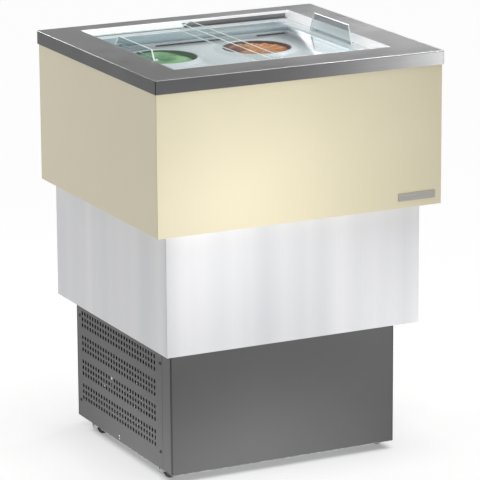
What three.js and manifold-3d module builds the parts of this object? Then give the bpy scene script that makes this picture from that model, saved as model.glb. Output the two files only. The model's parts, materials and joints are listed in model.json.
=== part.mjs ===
// Ice cream dipping cabinet: a free-standing, self-contained cabinet on four fixed casters.
// Millimetres, +Z up. The origin is on the floor under the middle of the worktop;
// -Y is the customers' side, +Y the operator's side and +X the right-hand side seen from the customers.

import * as THREE from 'three';
import { mergeVertices } from 'three/addons/utils/BufferGeometryUtils.js';
import Module from 'manifold-3d';

const wasm = await Module();
wasm.setup();

// ---------------------------------------------------------------- driving dimensions

const WIDTH = 800;
const DEPTH = 726;
const HEIGHT = 1066;
const SHEET = 2;          // thickness of the folded sheet metal
const GAP = 0.5;          // clearance between neighbouring pieces
const RIM = 35;           // height of the worktop's folded rim

// The body steps in twice on its way down. side, front and back are insets from the worktop's edges.
const UPPER = { side: 4, front: 4, back: 4, low: 671, high: HEIGHT - RIM - GAP };
const MIDDLE = { side: 44, front: 44, back: 4, low: 353, high: UPPER.low - GAP };
const BASE = { side: 83, front: 107, back: 36, low: 22, high: MIDDLE.low - GAP };

const RETURN = 12;        // inward fold along a panel's edges
const SOFFIT_LAP = 10;    // how far a soffit reaches in over the tier below
const SEAM = 1;           // visible joint between a front panel and a side panel
const BASE_SEAM = 4;      // the wider shadow gap at the base's front corners

// The cut-out in the worktop, and the clear opening inside the moulded surround.
const CUTOUT = { x: 305, front: -259, back: 308 };
const SURROUND_LIP = 3;
const CLEAR = {
  x: CUTOUT.x - SURROUND_LIP,
  front: CUTOUT.front + SURROUND_LIP,
  back: CUTOUT.back - SURROUND_LIP,
};
const SURROUND_DEPTH = 29;
const SURROUND_FLANGE = 30;

// Levels below the worktop's top face.
const LIP_DEPTH = 7;
const CHANNEL_FLOOR = 22;
const GLASS = 4;
const UPPER_GLASS_TOP = 8;
const LOWER_GLASS_TOP = 22.5;
const PLATE_TOP = 64;

const MEETING = -12;      // right edge of the upper lid; the lower lid starts LID_LAP to its left
const LID_LAP = 6;
const SIDE_PLAY = 0.5;

// Tub plate, tubs and tank.
const TUB_PITCH = 272;
const TUB_CENTRE_Y = 25;
const MOUTH_RADIUS = 91;
const COLLAR_RADIUS = 111;
const TUB_HEIGHT = 240;
const TUB_TOP = HEIGHT - PLATE_TOP - 14;
const SHELF_TOP = TUB_TOP - TUB_HEIGHT - GAP;
const TANK_FLOOR = 402;
const STEP = 10;          // each ledge in the tank narrows it by this much on every side

// Casters. They stand just inside the side panels, so their brackets are fixed and only the wheels turn.
const WHEEL_RADIUS = 25;
const WHEEL_WIDTH = 20;
const CASTER_TOP = 56.5;
const CASTER_X = 298;
const CASTER_Y = { front: -201, rear: 212 };

const TRAY_TOP = 59.5;

// ---------------------------------------------------------------- materials

const finish = (color, roughness, metalness) => new THREE.MeshStandardMaterial({ color, roughness, metalness });

const STAINLESS = finish(0x8f8f90, 0.35, 1);
const CREAM = finish(0xe9e0c2, 0.35, 0.1);
const WHITE_METAL = finish(0xe2e2e4, 0.3, 0.3);
const DARK_GREY = finish(0x676767, 0.5, 0.3);
const WHITE_PLASTIC = finish(0xf0f1f2, 0.4, 0);
const CHANNEL_GREY = finish(0x77787a, 0.45, 0.8);
const GLASS_MATERIAL = finish(0xcfe3e0, 0.05, 0);
const PLATE_WHITE = finish(0xd4d7d9, 0.4, 0.1);
const TUB_MATERIAL = finish(0xe8e6e0, 0.5, 0);
const PISTACHIO = finish(0x84ae88, 0.7, 0);
const CARAMEL = finish(0xc8935f, 0.7, 0);
const STRAWBERRY = finish(0xe3a3a6, 0.7, 0);
const VANILLA = finish(0xf0dfae, 0.7, 0);
const LINER_STEEL = finish(0xc9cccd, 0.35, 0.9);
const COPPER = finish(0xb87333, 0.35, 1);
const FOAM = finish(0xe6d9a0, 0.95, 0);
const FRAME_STEEL = finish(0x3c3c3e, 0.5, 0.6);
const ZINC = finish(0xc4c6c8, 0.3, 1);
const BLACK_PLASTIC = finish(0x1d1d1e, 0.5, 0);
const BLACK_ENAMEL = finish(0x1a1a1b, 0.35, 0.4);
const ALUMINIUM = finish(0xb9bbbd, 0.4, 1);
const BADGE = finish(0xa9a79d, 0.35, 0.9);
const WHEEL_RUBBER = finish(0x232323, 0.8, 0);

// ---------------------------------------------------------------- solids

function solid(geometry) {
  const bare = geometry.clone();
  bare.deleteAttribute('normal');
  bare.deleteAttribute('uv');
  const merged = mergeVertices(bare, 1e-4);
  const mesh = new wasm.Mesh({
    numProp: 3,
    vertProperties: Float32Array.from(merged.attributes.position.array),
    triVerts: Uint32Array.from(merged.index.array),
  });
  return new wasm.Manifold(mesh);
}

function geometryOf(manifold) {
  const mesh = manifold.getMesh();
  const geometry = new THREE.BufferGeometry();
  geometry.setAttribute('position', new THREE.BufferAttribute(Float32Array.from(mesh.vertProperties), 3));
  geometry.setIndex(Array.from(mesh.triVerts));
  geometry.computeVertexNormals();
  return geometry;
}

const join = (first, ...rest) => rest.reduce((sum, next) => sum.add(next), first);
const cut = (body, ...tools) => tools.reduce((left, tool) => left.subtract(tool), body);

// A block between two corners.
function block([x0, x1], [y0, y1], [z0, z1]) {
  const geometry = new THREE.BoxGeometry(x1 - x0, y1 - y0, z1 - z0);
  geometry.translate((x0 + x1) / 2, (y0 + y1) / 2, (z0 + z1) / 2);
  return solid(geometry);
}

// An upright slab with rounded corners, between two corners of its plan.
function roundedSlab([x0, x1], [y0, y1], [z0, z1], radius) {
  const shape = new THREE.Shape();
  shape.moveTo(x0 + radius, y0);
  shape.lineTo(x1 - radius, y0);
  shape.absarc(x1 - radius, y0 + radius, radius, -Math.PI / 2, 0);
  shape.lineTo(x1, y1 - radius);
  shape.absarc(x1 - radius, y1 - radius, radius, 0, Math.PI / 2);
  shape.lineTo(x0 + radius, y1);
  shape.absarc(x0 + radius, y1 - radius, radius, Math.PI / 2, Math.PI);
  shape.lineTo(x0, y0 + radius);
  shape.absarc(x0 + radius, y0 + radius, radius, Math.PI, Math.PI * 1.5);
  const geometry = new THREE.ExtrudeGeometry(shape, { depth: z1 - z0, bevelEnabled: false, curveSegments: 4 });
  geometry.translate(0, 0, z0);
  return solid(geometry);
}

// A turned piece about the Z axis, from a closed or axis-to-axis profile of [radius, z] points.
function turned(profile, segments = 32) {
  const geometry = new THREE.LatheGeometry(profile.map(([r, z]) => new THREE.Vector2(r, z)), segments);
  geometry.rotateX(Math.PI / 2);
  return solid(geometry);
}

function disc(radius, low, high, segments = 32) {
  return turned([[0, low], [radius, low], [radius, high], [0, high]], segments);
}

// A flat outline of [x, y] points raised along Z.
function plate(outline, low, high) {
  const shape = new THREE.Shape(outline.map(([x, y]) => new THREE.Vector2(x, y)));
  const geometry = new THREE.ExtrudeGeometry(shape, { depth: high - low, bevelEnabled: false });
  geometry.translate(0, 0, low);
  return solid(geometry);
}

// A path of straight stretches, with one section of the extrusion at each of its points.
class Route extends THREE.Curve {
  constructor(points) {
    super();
    this.points = points.map((point) => new THREE.Vector3(...point));
  }

  getPoint(t, target = new THREE.Vector3()) {
    const place = t * (this.points.length - 1);
    const index = Math.min(Math.floor(place), this.points.length - 2);
    return target.lerpVectors(this.points[index], this.points[index + 1], place - index);
  }

  getPointAt(u, target) {
    return this.getPoint(u, target);
  }

  getTangentAt(u, target) {
    return this.getTangent(u, target);
  }
}

// A round bar or tube along a route.
function bar(points, radius, sides = 8) {
  const section = new THREE.Shape();
  section.absarc(0, 0, radius, 0, Math.PI * 2);
  const shape = new THREE.Shape(section.getSpacedPoints(sides).slice(0, sides));
  const extrudePath = new Route(points);
  return solid(new THREE.ExtrudeGeometry(shape, { steps: points.length - 1, extrudePath, bevelEnabled: false }));
}

const cabinet = new THREE.Group();

function add(parent, name, body, material, position = [0, 0, 0], rotation = [0, 0, 0]) {
  const mesh = new THREE.Mesh(geometryOf(body), material);
  mesh.name = name;
  mesh.position.set(...position);
  mesh.rotation.set(...rotation);
  parent.add(mesh);
  return mesh;
}

// ---------------------------------------------------------------- worktop and lid surround

const top = new THREE.Group();
top.position.z = HEIGHT;
cabinet.add(top);

function ring(outer, inner, [low, high]) {
  const wall = block([-outer.x, outer.x], [outer.front, outer.back], [low, high]);
  const hole = block([-inner.x, inner.x], [inner.front, inner.back], [low - 1, high + 1]);
  return cut(wall, hole);
}

const grown = (box, by) => ({ x: box.x + by, front: box.front - by, back: box.back + by });

function worktop() {
  const edge = { x: WIDTH / 2, front: -DEPTH / 2, back: DEPTH / 2 };
  const corner = 3;
  const outside = roundedSlab([-edge.x, edge.x], [edge.front, edge.back], [-RIM, 0], corner);
  const inside = grown(edge, -SHEET);
  const hollow = block([-inside.x, inside.x], [inside.front, inside.back], [-RIM - 1, -SHEET]);
  const opening = block([-CUTOUT.x, CUTOUT.x], [CUTOUT.front, CUTOUT.back], [-RIM, 1]);
  return cut(outside, hollow, opening);
}

function lidSurround() {
  const flange = grown(CUTOUT, SURROUND_FLANGE);
  const body = block([-flange.x, flange.x], [flange.front, flange.back], [-SURROUND_DEPTH, -SHEET - GAP]);
  const neck = grown(CUTOUT, -GAP);
  const lip = block([-neck.x, neck.x], [neck.front, neck.back], [-LIP_DEPTH, 0]);
  const clear = block([-CLEAR.x, CLEAR.x], [CLEAR.front, CLEAR.back], [-SURROUND_DEPTH - 1, 1]);
  const channelReach = 15;
  const channels = block(
    [-CLEAR.x, CLEAR.x],
    [CLEAR.front - channelReach, CLEAR.back + channelReach],
    [-CHANNEL_FLOOR, -LIP_DEPTH],
  );
  const grooveReach = 6;
  const grooves = block(
    [-CLEAR.x, CLEAR.x],
    [CLEAR.front - grooveReach, CLEAR.back + grooveReach],
    [-LOWER_GLASS_TOP - GLASS - 0.3, -CHANNEL_FLOOR + 1],
  );
  return cut(join(body, lip), clear, channels, grooves);
}

// The metal channel in the surround's upper groove. Y runs outwards from the clear opening's edge.
function lidChannel() {
  const floor = -CHANNEL_FLOOR + GAP;
  const thickness = 1.5;
  const reach = 14.5;
  const length = [-CLEAR.x + GAP, CLEAR.x - GAP];
  const bottom = block(length, [1, reach], [floor, floor + thickness]);
  const back = block(length, [reach - thickness, reach], [floor, -LIP_DEPTH - GAP]);
  return join(bottom, back);
}

function buildTop() {
  add(top, 'worktop', worktop(), STAINLESS);
  add(top, 'lid_frame', lidSurround(), WHITE_PLASTIC);
  add(top, 'lid_channel_rear', lidChannel(), CHANNEL_GREY, [0, CLEAR.back, 0]);
  add(top, 'lid_channel_front', lidChannel(), CHANNEL_GREY, [0, CLEAR.front, 0], [0, 0, Math.PI]);
}

// ---------------------------------------------------------------- sliding lids

const GLASS_INSET = 5;    // the upper glass stops this far inside the clear opening, in its slide strips

// A clear upright plate with slanted ends on a narrow foot. Its foot points along footSide * X.
function handle({ base, crown, foot, low, high, footSide }) {
  const thickness = 4;
  const footHeight = 3;
  const outline = [[base[0], low], [base[1], low], [crown[1], high], [crown[0], high]];
  const upright = plate(outline, -thickness / 2, thickness / 2).rotate([90, 0, 90]);
  const reach = [footSide * thickness / 2, footSide * foot].sort((a, b) => a - b);
  const sole = block(reach, [base[0] + 4, base[1] - 4], [low, low + footHeight]);
  return join(upright, sole);
}

// The upper glass. Its free edge is bent up into a low lip that stops short of the channels.
function upperGlass() {
  const left = -CLEAR.x + SIDE_PLAY;
  const y = [CLEAR.front + GLASS_INSET, CLEAR.back - GLASS_INSET];
  const pane = block([left, MEETING], y, [-UPPER_GLASS_TOP - GLASS, -UPPER_GLASS_TOP]);
  const lip = { out: 20, rise: 10, endInset: 10 };
  const outline = [
    [MEETING - GLASS, -UPPER_GLASS_TOP - GLASS],
    [MEETING, -UPPER_GLASS_TOP - GLASS],
    [MEETING + lip.out, -UPPER_GLASS_TOP - GLASS + lip.rise],
    [MEETING + lip.out - GLASS / 2, -UPPER_GLASS_TOP + lip.rise - GLASS / 8],
    [MEETING - GLASS / 4, -UPPER_GLASS_TOP],
    [MEETING - GLASS, -UPPER_GLASS_TOP],
  ];
  const bentUp = plate(outline, -y[1] + lip.endInset, -y[0] - lip.endInset).rotate([90, 0, 0]);
  return join(pane, bentUp);
}

// The white strip that grips the upper glass along one edge and runs in the metal channel.
function slideStrip() {
  const x = [-CLEAR.x + SIDE_PLAY, MEETING];
  const grip = block(x, [-GLASS_INSET + GAP, 11], [-16, -LIP_DEPTH - GAP]);
  const shelf = block(x, [-GLASS_INSET - 8, 0], [-16, -UPPER_GLASS_TOP - GLASS - 0.4]);
  const foot = block(x, [3, 11], [-CHANNEL_FLOOR + 2.4, -15]);
  return join(grip, shelf, foot);
}

function lowerGlass() {
  const rebate = 5;
  return block(
    [MEETING - LID_LAP, CLEAR.x - SIDE_PLAY],
    [CLEAR.front - rebate, CLEAR.back + rebate],
    [-LOWER_GLASS_TOP - GLASS, -LOWER_GLASS_TOP],
  );
}

function buildLids() {
  const upperHandleX = -283;
  const lowerHandleX = 280;
  const foot = 12;
  const touch = 0.3;
  add(top, 'upper_lid', upperGlass(), GLASS_MATERIAL);
  add(top, 'upper_lid_strip_rear', slideStrip(), WHITE_PLASTIC, [0, CLEAR.back, 0]);
  const mirrored = slideStrip().mirror([0, 1, 0]);
  add(top, 'upper_lid_strip_front', mirrored, WHITE_PLASTIC, [0, CLEAR.front, 0]);
  const upperHandle = handle({
    base: [-108, 128],
    crown: [-92, 108],
    foot,
    low: -UPPER_GLASS_TOP + touch,
    high: 19,
    footSide: 1,
  });
  add(top, 'upper_lid_handle', upperHandle, GLASS_MATERIAL, [upperHandleX, 0, 0]);
  add(top, 'lower_lid', lowerGlass(), GLASS_MATERIAL);
  const lowerHandle = handle({
    base: [-97, 134],
    crown: [-78, 111],
    foot,
    low: -LOWER_GLASS_TOP + touch,
    high: 27,
    footSide: 1,
  });
  add(top, 'lower_lid_handle', lowerHandle, GLASS_MATERIAL, [lowerHandleX, 0, 0]);
}

// ---------------------------------------------------------------- tub plate, tubs and ice cream

const tubSpots = [
  { name: 'rear_left', x: -1, y: 1, fill: PISTACHIO, level: 18 },
  { name: 'rear_right', x: 1, y: 1, fill: CARAMEL, level: 17 },
  { name: 'front_left', x: -1, y: -1, fill: STRAWBERRY, level: 15 },
  { name: 'front_right', x: 1, y: -1, fill: VANILLA, level: 12 },
].map((spot) => ({ ...spot, x: spot.x * TUB_PITCH / 2, y: TUB_CENTRE_Y + spot.y * TUB_PITCH / 2 }));

// A raised conical collar round a tub's mouth, about its own centre, with z = 0 on the plate's top.
function collar() {
  const rise = 5.6;
  const skirt = 10;
  return turned([
    [MOUTH_RADIUS, -skirt],
    [MOUTH_RADIUS + 2, -skirt],
    [MOUTH_RADIUS + 2, -1],
    [COLLAR_RADIUS, -1],
    [COLLAR_RADIUS, 0.6],
    [MOUTH_RADIUS + 3, rise],
    [MOUTH_RADIUS, rise - 1.5],
    [MOUTH_RADIUS, -skirt],
  ]);
}

function tubPlate() {
  const outside = grown(CLEAR, -1);
  const upstand = 14;
  const rise = 11;
  const inside = grown(outside, -upstand);
  let body = join(
    block([-outside.x, outside.x], [outside.front, outside.back], [-SHEET, 0]),
    ring(outside, inside, [-SHEET, rise]),
  );
  // A dark groove runs along the upstand's inner face, apart from two plain pads.
  const pad = { near: 95, far: 201 };
  const slotDepth = 7;
  for (const slot of [[-inside.x, -pad.far], [-pad.near, pad.near], [pad.far, inside.x]]) {
    body = cut(body, block(slot, [inside.back - 1, inside.back + slotDepth], [3, 8]));
    body = cut(body, block(slot, [inside.front - slotDepth, inside.front + 1], [3, 8]));
  }
  for (const { x, y } of tubSpots) {
    const hole = disc(MOUTH_RADIUS + 1, -SHEET - 1, 1).translate([x, y, 0]);
    body = join(cut(body, hole), collar().translate([x, y, 0]));
  }
  return body;
}

const TUB = { foot: 88, mouth: 94, wall: 2, rim: 98, rimHeight: 8, floor: 2.5 };

function tub() {
  return turned([
    [0, 0],
    [TUB.foot, 0],
    [TUB.mouth, TUB_HEIGHT - TUB.rimHeight],
    [TUB.rim, TUB_HEIGHT - TUB.rimHeight],
    [TUB.rim, TUB_HEIGHT],
    [TUB.mouth - TUB.wall, TUB_HEIGHT],
    [TUB.foot - TUB.wall, TUB.floor],
    [0, TUB.floor],
  ], 32);
}

// The frozen block inside a tub. Its crown stands level above the tub's rim.
function iceCream(level) {
  const play = 0.6;
  const foot = TUB.foot - TUB.wall - play;
  const wall = TUB.mouth - TUB.wall - play;
  const shoulder = MOUTH_RADIUS - 2;
  const crown = TUB_HEIGHT + level;
  return turned([
    [0, TUB.floor + play],
    [foot, TUB.floor + play],
    [wall - 0.6, TUB_HEIGHT - 16],
    [shoulder, crown - 8],
    [shoulder * 0.8, crown - 2],
    [0, crown],
  ], 32);
}

function shelf() {
  const outside = grown(CLEAR, -STEP - 4);
  let body = block([-outside.x, outside.x], [outside.front, outside.back], [-3, 0]);
  for (const { x, y } of tubSpots) {
    body = cut(body, disc(50, -4, 1, 24).translate([x, y, 0]));
  }
  return body;
}

function buildTubs() {
  add(top, 'tub_plate', tubPlate(), PLATE_WHITE, [0, 0, -PLATE_TOP]);
  for (const { name, x, y, fill, level } of tubSpots) {
    const standing = new THREE.Group();
    standing.position.set(x, y, TUB_TOP - TUB_HEIGHT);
    cabinet.add(standing);
    add(standing, `tub_${name}`, tub(), TUB_MATERIAL);
    add(standing, `ice_cream_${name}`, iceCream(level), fill);
  }
  add(cabinet, 'tub_shelf', shelf(), LINER_STEEL, [0, 0, SHELF_TOP]);
}

// ---------------------------------------------------------------- tank, evaporator and insulation

const TANK_TOP = HEIGHT - SURROUND_DEPTH - GAP;
const PLATE_LEDGE = HEIGHT - PLATE_TOP - SHEET - GAP;
const SHELF_LEDGE = SHELF_TOP - 3 - GAP;

// The tank narrows at a ledge for the tub plate and again at a ledge for the shelf.
const tankSections = [
  { inset: -SURROUND_LIP, low: PLATE_LEDGE, high: TANK_TOP },
  { inset: STEP - SURROUND_LIP, low: SHELF_LEDGE, high: PLATE_LEDGE },
  { inset: 2 * STEP - SURROUND_LIP, low: TANK_FLOOR, high: SHELF_LEDGE },
];

// The stack of blocks that fills the tank's sections, grown by some margin on the sides and below.
function tankStack(margin, drop) {
  const blocks = tankSections.map(({ inset, low, high }) => {
    const plan = grown(CLEAR, margin - inset);
    return block([-plan.x, plan.x], [plan.front, plan.back], [low - drop, high]);
  });
  return join(...blocks);
}

function tank() {
  const inner = tankSections.map(({ inset, low, high }, index) => {
    const plan = grown(CLEAR, -inset);
    const lift = index === 0 ? 1 : 0;
    return block([-plan.x, plan.x], [plan.front, plan.back], [low, high + lift]);
  });
  return cut(tankStack(SHEET, SHEET), ...inner);
}

const COIL = { radius: 5, high: 960, turns: 5, pitch: 40, startX: -100, outletX: 100 };
const coilPlan = grown(CLEAR, SHEET + SURROUND_LIP - STEP + COIL.radius + 2);
const PIPE_ENTRY = { y: 272, low: MIDDLE.low - 8, bend: 374 };

// A copper tube wound round the tank's middle section. Its outlet drops behind the tank, passes under
// the tank's floor and leaves the insulation at the bottom.
function evaporatorCoil() {
  const corner = 5;
  const bend = 20;
  const { x, front, back } = coilPlan;
  const lap = [
    [0, back], [x - corner, back], [x, back - corner], [x, front + corner], [x - corner, front],
    [-x + corner, front], [-x, front + corner], [-x, back - corner], [-x + corner, back],
  ];
  const points = [[COIL.startX, back, COIL.high]];
  for (let turn = 0; turn < COIL.turns; turn += 1) {
    lap.forEach(([px, py], index) => {
      const fraction = turn + index / lap.length;
      points.push([px, py, COIL.high - COIL.pitch * fraction]);
    });
  }
  const last = COIL.high - COIL.pitch * COIL.turns;
  points.push(
    [COIL.outletX - bend, back, last],
    [COIL.outletX - 4, back, last - 6],
    [COIL.outletX, back, last - bend],
    [COIL.outletX, back, PIPE_ENTRY.bend + 10],
    [COIL.outletX, back - 10, PIPE_ENTRY.bend],
    [COIL.outletX, PIPE_ENTRY.y + 8, PIPE_ENTRY.bend - 2],
    [COIL.outletX, PIPE_ENTRY.y, PIPE_ENTRY.bend - 12],
    [COIL.outletX, PIPE_ENTRY.y, PIPE_ENTRY.low],
  );
  return bar(points, COIL.radius);
}

const FOAM_INSET = 15;

function tierBox(tier, inset) {
  return {
    x: WIDTH / 2 - tier.side - inset,
    front: -DEPTH / 2 + tier.front + inset,
    back: DEPTH / 2 - tier.back - inset,
  };
}

function foam() {
  const upper = tierBox(UPPER, FOAM_INSET);
  const lower = tierBox(MIDDLE, FOAM_INSET);
  const body = join(
    block([-upper.x, upper.x], [upper.front, upper.back], [UPPER.low + SHEET + GAP, TANK_TOP]),
    block([-lower.x, lower.x], [lower.front, lower.back], [MIDDLE.low + SHEET + GAP, UPPER.low + 20]),
  );
  const wrap = grown(coilPlan, COIL.radius + 2);
  const coilHigh = COIL.high + COIL.radius + 5;
  const coilLow = COIL.high - COIL.pitch * COIL.turns - COIL.radius - 20;
  const coilBand = block([-wrap.x, wrap.x], [wrap.front, wrap.back], [coilLow, coilHigh]);
  const way = (from, to, depth) => block(
    [from, to],
    [PIPE_ENTRY.y - 10, coilPlan.back + depth],
    [MIDDLE.low, coilHigh],
  );
  const outletWay = way(COIL.outletX - 12, COIL.outletX + 12, 12);
  const inletWay = way(COIL.startX - 46, COIL.startX + 12, 24);
  return cut(body, tankStack(SHEET + GAP, SHEET + GAP), coilBand, outletWay, inletWay);
}

function buildTank() {
  add(cabinet, 'well_liner', tank(), LINER_STEEL);
  add(cabinet, 'evaporator_coil', evaporatorCoil(), COPPER);
  add(cabinet, 'foam_insulation', foam(), FOAM);
}

// ---------------------------------------------------------------- casing

// A folded sheet panel. It faces -Y, with z = 0 at its bottom edge and x = 0 at its middle.
// Each edge folds inwards: over and under are { depth, span } and ends is true for folded ends.
function foldedPanel({ width, height, over, under, ends }) {
  let body = block([-width / 2, width / 2], [0, SHEET], [0, height]);
  body = join(body, block(over.span, [0, over.depth], [height - SHEET, height]));
  body = join(body, block(under.span, [0, under.depth], [0, SHEET]));
  if (ends) {
    const upright = [SHEET + 1, height - SHEET - 1];
    body = join(
      body,
      block([-width / 2, -width / 2 + SHEET], [0, RETURN], upright),
      block([width / 2 - SHEET, width / 2], [0, RETURN], upright),
    );
  }
  return body;
}

// The four panels of one tier. soffits gives how deep the fold under each side is.
function tierPanels(tier, soffits, seam) {
  const box = tierBox(tier, 0);
  const height = tier.high - tier.low;
  const acrossHalf = box.x - SHEET - 1;
  const across = [-acrossHalf, acrossHalf];
  const crossPanel = (soffit) => foldedPanel({
    width: 2 * box.x,
    height,
    over: { depth: RETURN, span: across },
    under: { depth: soffit, span: across },
    ends: false,
  });
  const sideFront = box.front + SHEET + seam;
  const sideBack = box.back - SHEET - SEAM;
  const middle = (sideFront + sideBack) / 2;
  const width = sideBack - sideFront;
  // Spans are given along Y from the panel's middle and turned to the panel's own x by facing.
  const sidePanel = (facing) => {
    const alongY = (from, to) => [facing * (from - middle), facing * (to - middle)].sort((a, b) => a - b);
    return foldedPanel({
      width,
      height,
      over: { depth: RETURN, span: alongY(box.front + RETURN + 1, box.back - RETURN - 1) },
      under: { depth: soffits.side, span: alongY(box.front + soffits.front + 1, box.back - soffits.back - 1) },
      ends: true,
    });
  };
  return {
    front: { body: crossPanel(soffits.front), position: [0, box.front, tier.low], turn: 0 },
    rear: { body: crossPanel(soffits.back), position: [0, box.back, tier.low], turn: Math.PI },
    left: { body: sidePanel(-1), position: [-box.x, middle, tier.low], turn: -Math.PI / 2 },
    right: { body: sidePanel(1), position: [box.x, middle, tier.low], turn: Math.PI / 2 },
  };
}

function addPanels(prefix, panels, material) {
  for (const [side, { body, position, turn }] of Object.entries(panels)) {
    add(cabinet, `${prefix}_${side}`, body, material, position, [0, 0, turn]);
  }
}

// Soffit depths: the step down to the tier below plus a lap over it.
const stepDown = (above, below, side) => below[side] - above[side] + SOFFIT_LAP;

function badge() {
  return block([-53, 53], [-1.5, 0], [-10, 10]);
}

// ---------------------------------------------------------------- base panels

const VENT = { pitch: 16.6, low: 79, height: 11.5, back: 291, columns: 28, slotWidth: 9 };
const VENT_GROUPS = 4;
const ROWS_PER_GROUP = 3;

// Cuts the rows of vents through a side panel, each row in two runs with a rib between them.
function ventRows(panelMiddle, facing) {
  const runs = [];
  const length = VENT.pitch * (VENT.columns / 2 - 1) + VENT.slotWidth;
  for (let group = 0; group < VENT_GROUPS; group += 1) {
    for (let row = 0; row < ROWS_PER_GROUP; row += 1) {
      const z = VENT.low - BASE.low + VENT.pitch * (group * (ROWS_PER_GROUP + 1) + row);
      for (let half = 0; half < 2; half += 1) {
        const start = VENT.back + VENT.slotWidth / 2 - half * VENT.pitch * VENT.columns / 2;
        const ends = [start, start - length].map((y) => facing * (y - panelMiddle)).sort((a, b) => a - b);
        runs.push(block(ends, [-1, SHEET + 1], [z - VENT.height / 2, z + VENT.height / 2]));
      }
    }
  }
  return runs;
}

const CONTROL = { x: 215, z: 292, width: 112, height: 44 };
const GLAND = { x: -230, z: 100, radius: 8 };

// The service panel at the back, with louvre slots, the control panel's hole and the cable's hole.
function servicePanel(body) {
  const slotCount = 9;
  const slotPitch = 22;
  const slots = [];
  for (let index = 0; index < slotCount; index += 1) {
    const z = 60 + index * slotPitch;
    slots.push(block([-150, -10], [-1, SHEET + 1], [z - 4, z + 4]));
    slots.push(block([10, 150], [-1, SHEET + 1], [z - 4, z + 4]));
  }
  // The panel is turned to face +Y, so its own x runs the other way.
  const z = CONTROL.z - BASE.low;
  const controlHole = block(
    [-CONTROL.x - CONTROL.width / 2, -CONTROL.x + CONTROL.width / 2],
    [-1, SHEET + 1],
    [z - CONTROL.height / 2, z + CONTROL.height / 2],
  );
  const glandHole = disc(GLAND.radius + GAP, -1, SHEET + 1, 24)
    .rotate([-90, 0, 0])
    .translate([-GLAND.x, 0, GLAND.z - BASE.low]);
  return cut(body, ...slots, controlHole, glandHole);
}

function buildCasing() {
  const upperSoffits = {
    front: stepDown(UPPER, MIDDLE, 'front'),
    side: stepDown(UPPER, MIDDLE, 'side'),
    back: RETURN,
  };
  addPanels('upper', tierPanels(UPPER, upperSoffits, SEAM), CREAM);
  add(cabinet, 'badge_plate', badge(), BADGE, [325, -DEPTH / 2 + UPPER.front - 0.3, 699]);

  const middleSoffits = {
    front: stepDown(MIDDLE, BASE, 'front'),
    side: stepDown(MIDDLE, BASE, 'side'),
    back: stepDown(MIDDLE, BASE, 'back'),
  };
  addPanels('middle', tierPanels(MIDDLE, middleSoffits, SEAM), WHITE_METAL);

  // The side panels' lower folds stay narrow, to leave room for the casters.
  const base = tierPanels(BASE, { front: RETURN, side: 4, back: RETURN }, BASE_SEAM);
  base.left.body = cut(base.left.body, ...ventRows(base.left.position[1], -1));
  base.right.body = cut(base.right.body, ...ventRows(base.right.position[1], 1));
  base.rear.body = servicePanel(base.rear.body);
  addPanels('base', base, DARK_GREY);
}

// ---------------------------------------------------------------- base frame and tray

const FRAME_BOX = tierBox(BASE, RETURN + 3);
const ANGLE = 25;         // leg of the frame's steel angle
const ANGLE_WALL = 3;

// Four upright angles between a lower and an upper ring of the same angle, welded into one piece.
function baseFrame() {
  const low = TRAY_TOP + GAP;
  const high = BASE.high;
  const skin = grown(FRAME_BOX, -ANGLE_WALL);
  const inner = grown(FRAME_BOX, -ANGLE);
  const corners = ring(FRAME_BOX, skin, [low, high]);
  const notMiddles = cut(
    block([-WIDTH, WIDTH], [-DEPTH, DEPTH], [low, high]),
    block([-inner.x, inner.x], [-DEPTH, DEPTH], [low + ANGLE, high - ANGLE]),
    block([-WIDTH, WIDTH], [inner.front, inner.back], [low + ANGLE, high - ANGLE]),
  );
  return join(
    corners.intersect(notMiddles),
    ring(FRAME_BOX, inner, [low, low + ANGLE_WALL]),
    ring(FRAME_BOX, inner, [high - ANGLE_WALL, high]),
  );
}

function baseTray() {
  const { x, front, back } = FRAME_BOX;
  return block([-x, x], [front, back], [CASTER_TOP + GAP, TRAY_TOP]);
}

// ---------------------------------------------------------------- refrigeration set

const DECK = TRAY_TOP + GAP;

// A hermetic compressor: a domed shell on a foot plate, with a terminal cover on its side.
function compressor() {
  const radius = 64;
  const shell = turned([
    [0, 8], [radius * 0.75, 10], [radius * 0.97, 24], [radius, 40],
    [radius, 116], [radius * 0.97, 134], [radius * 0.78, 152], [radius * 0.4, 162], [0, 165],
  ], 24);
  const foot = roundedSlab([-85, 85], [-58, 58], [0, 4], 10);
  const pedestal = disc(40, 3, 14, 24);
  const cover = block([-24, 24], [-82, -50], [50, 104]);
  return join(foot, pedestal, shell, cover);
}

// A finned coil block that stands across the air stream; its fins are comb teeth seen from above.
function condenser() {
  const fins = 22;
  const pitch = 10;
  const height = 210;
  const root = 12;
  const reach = 24;
  const half = fins * pitch / 2;
  const outline = [[root / 2, -half], [root / 2, half]];
  for (let index = fins - 1; index >= 0; index -= 1) {
    const y = -half + index * pitch;
    outline.push([-root / 2, y + 8], [-reach, y + 8], [-reach, y + 3], [-root / 2, y + 3]);
  }
  outline.push([-root / 2, -half]);
  const coreOutline = outline.filter(([x, y], index) => {
    const [px, py] = outline[(index + 1) % outline.length];
    return x !== px || y !== py;
  });
  return plate(coreOutline, 0, height);
}

const FAN = { radius: 84, ringRadius: 90, blades: 5, hub: 22, bore: 4.4 };

function fanShroud() {
  const size = 112;
  const sheet = block([-size, size], [-size, size], [0, SHEET]);
  const sleeve = disc(FAN.ringRadius + 2, 0, 22, 40);
  const hole = disc(FAN.ringRadius, -1, 23, 40);
  return cut(join(sheet, sleeve), hole);
}

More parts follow.
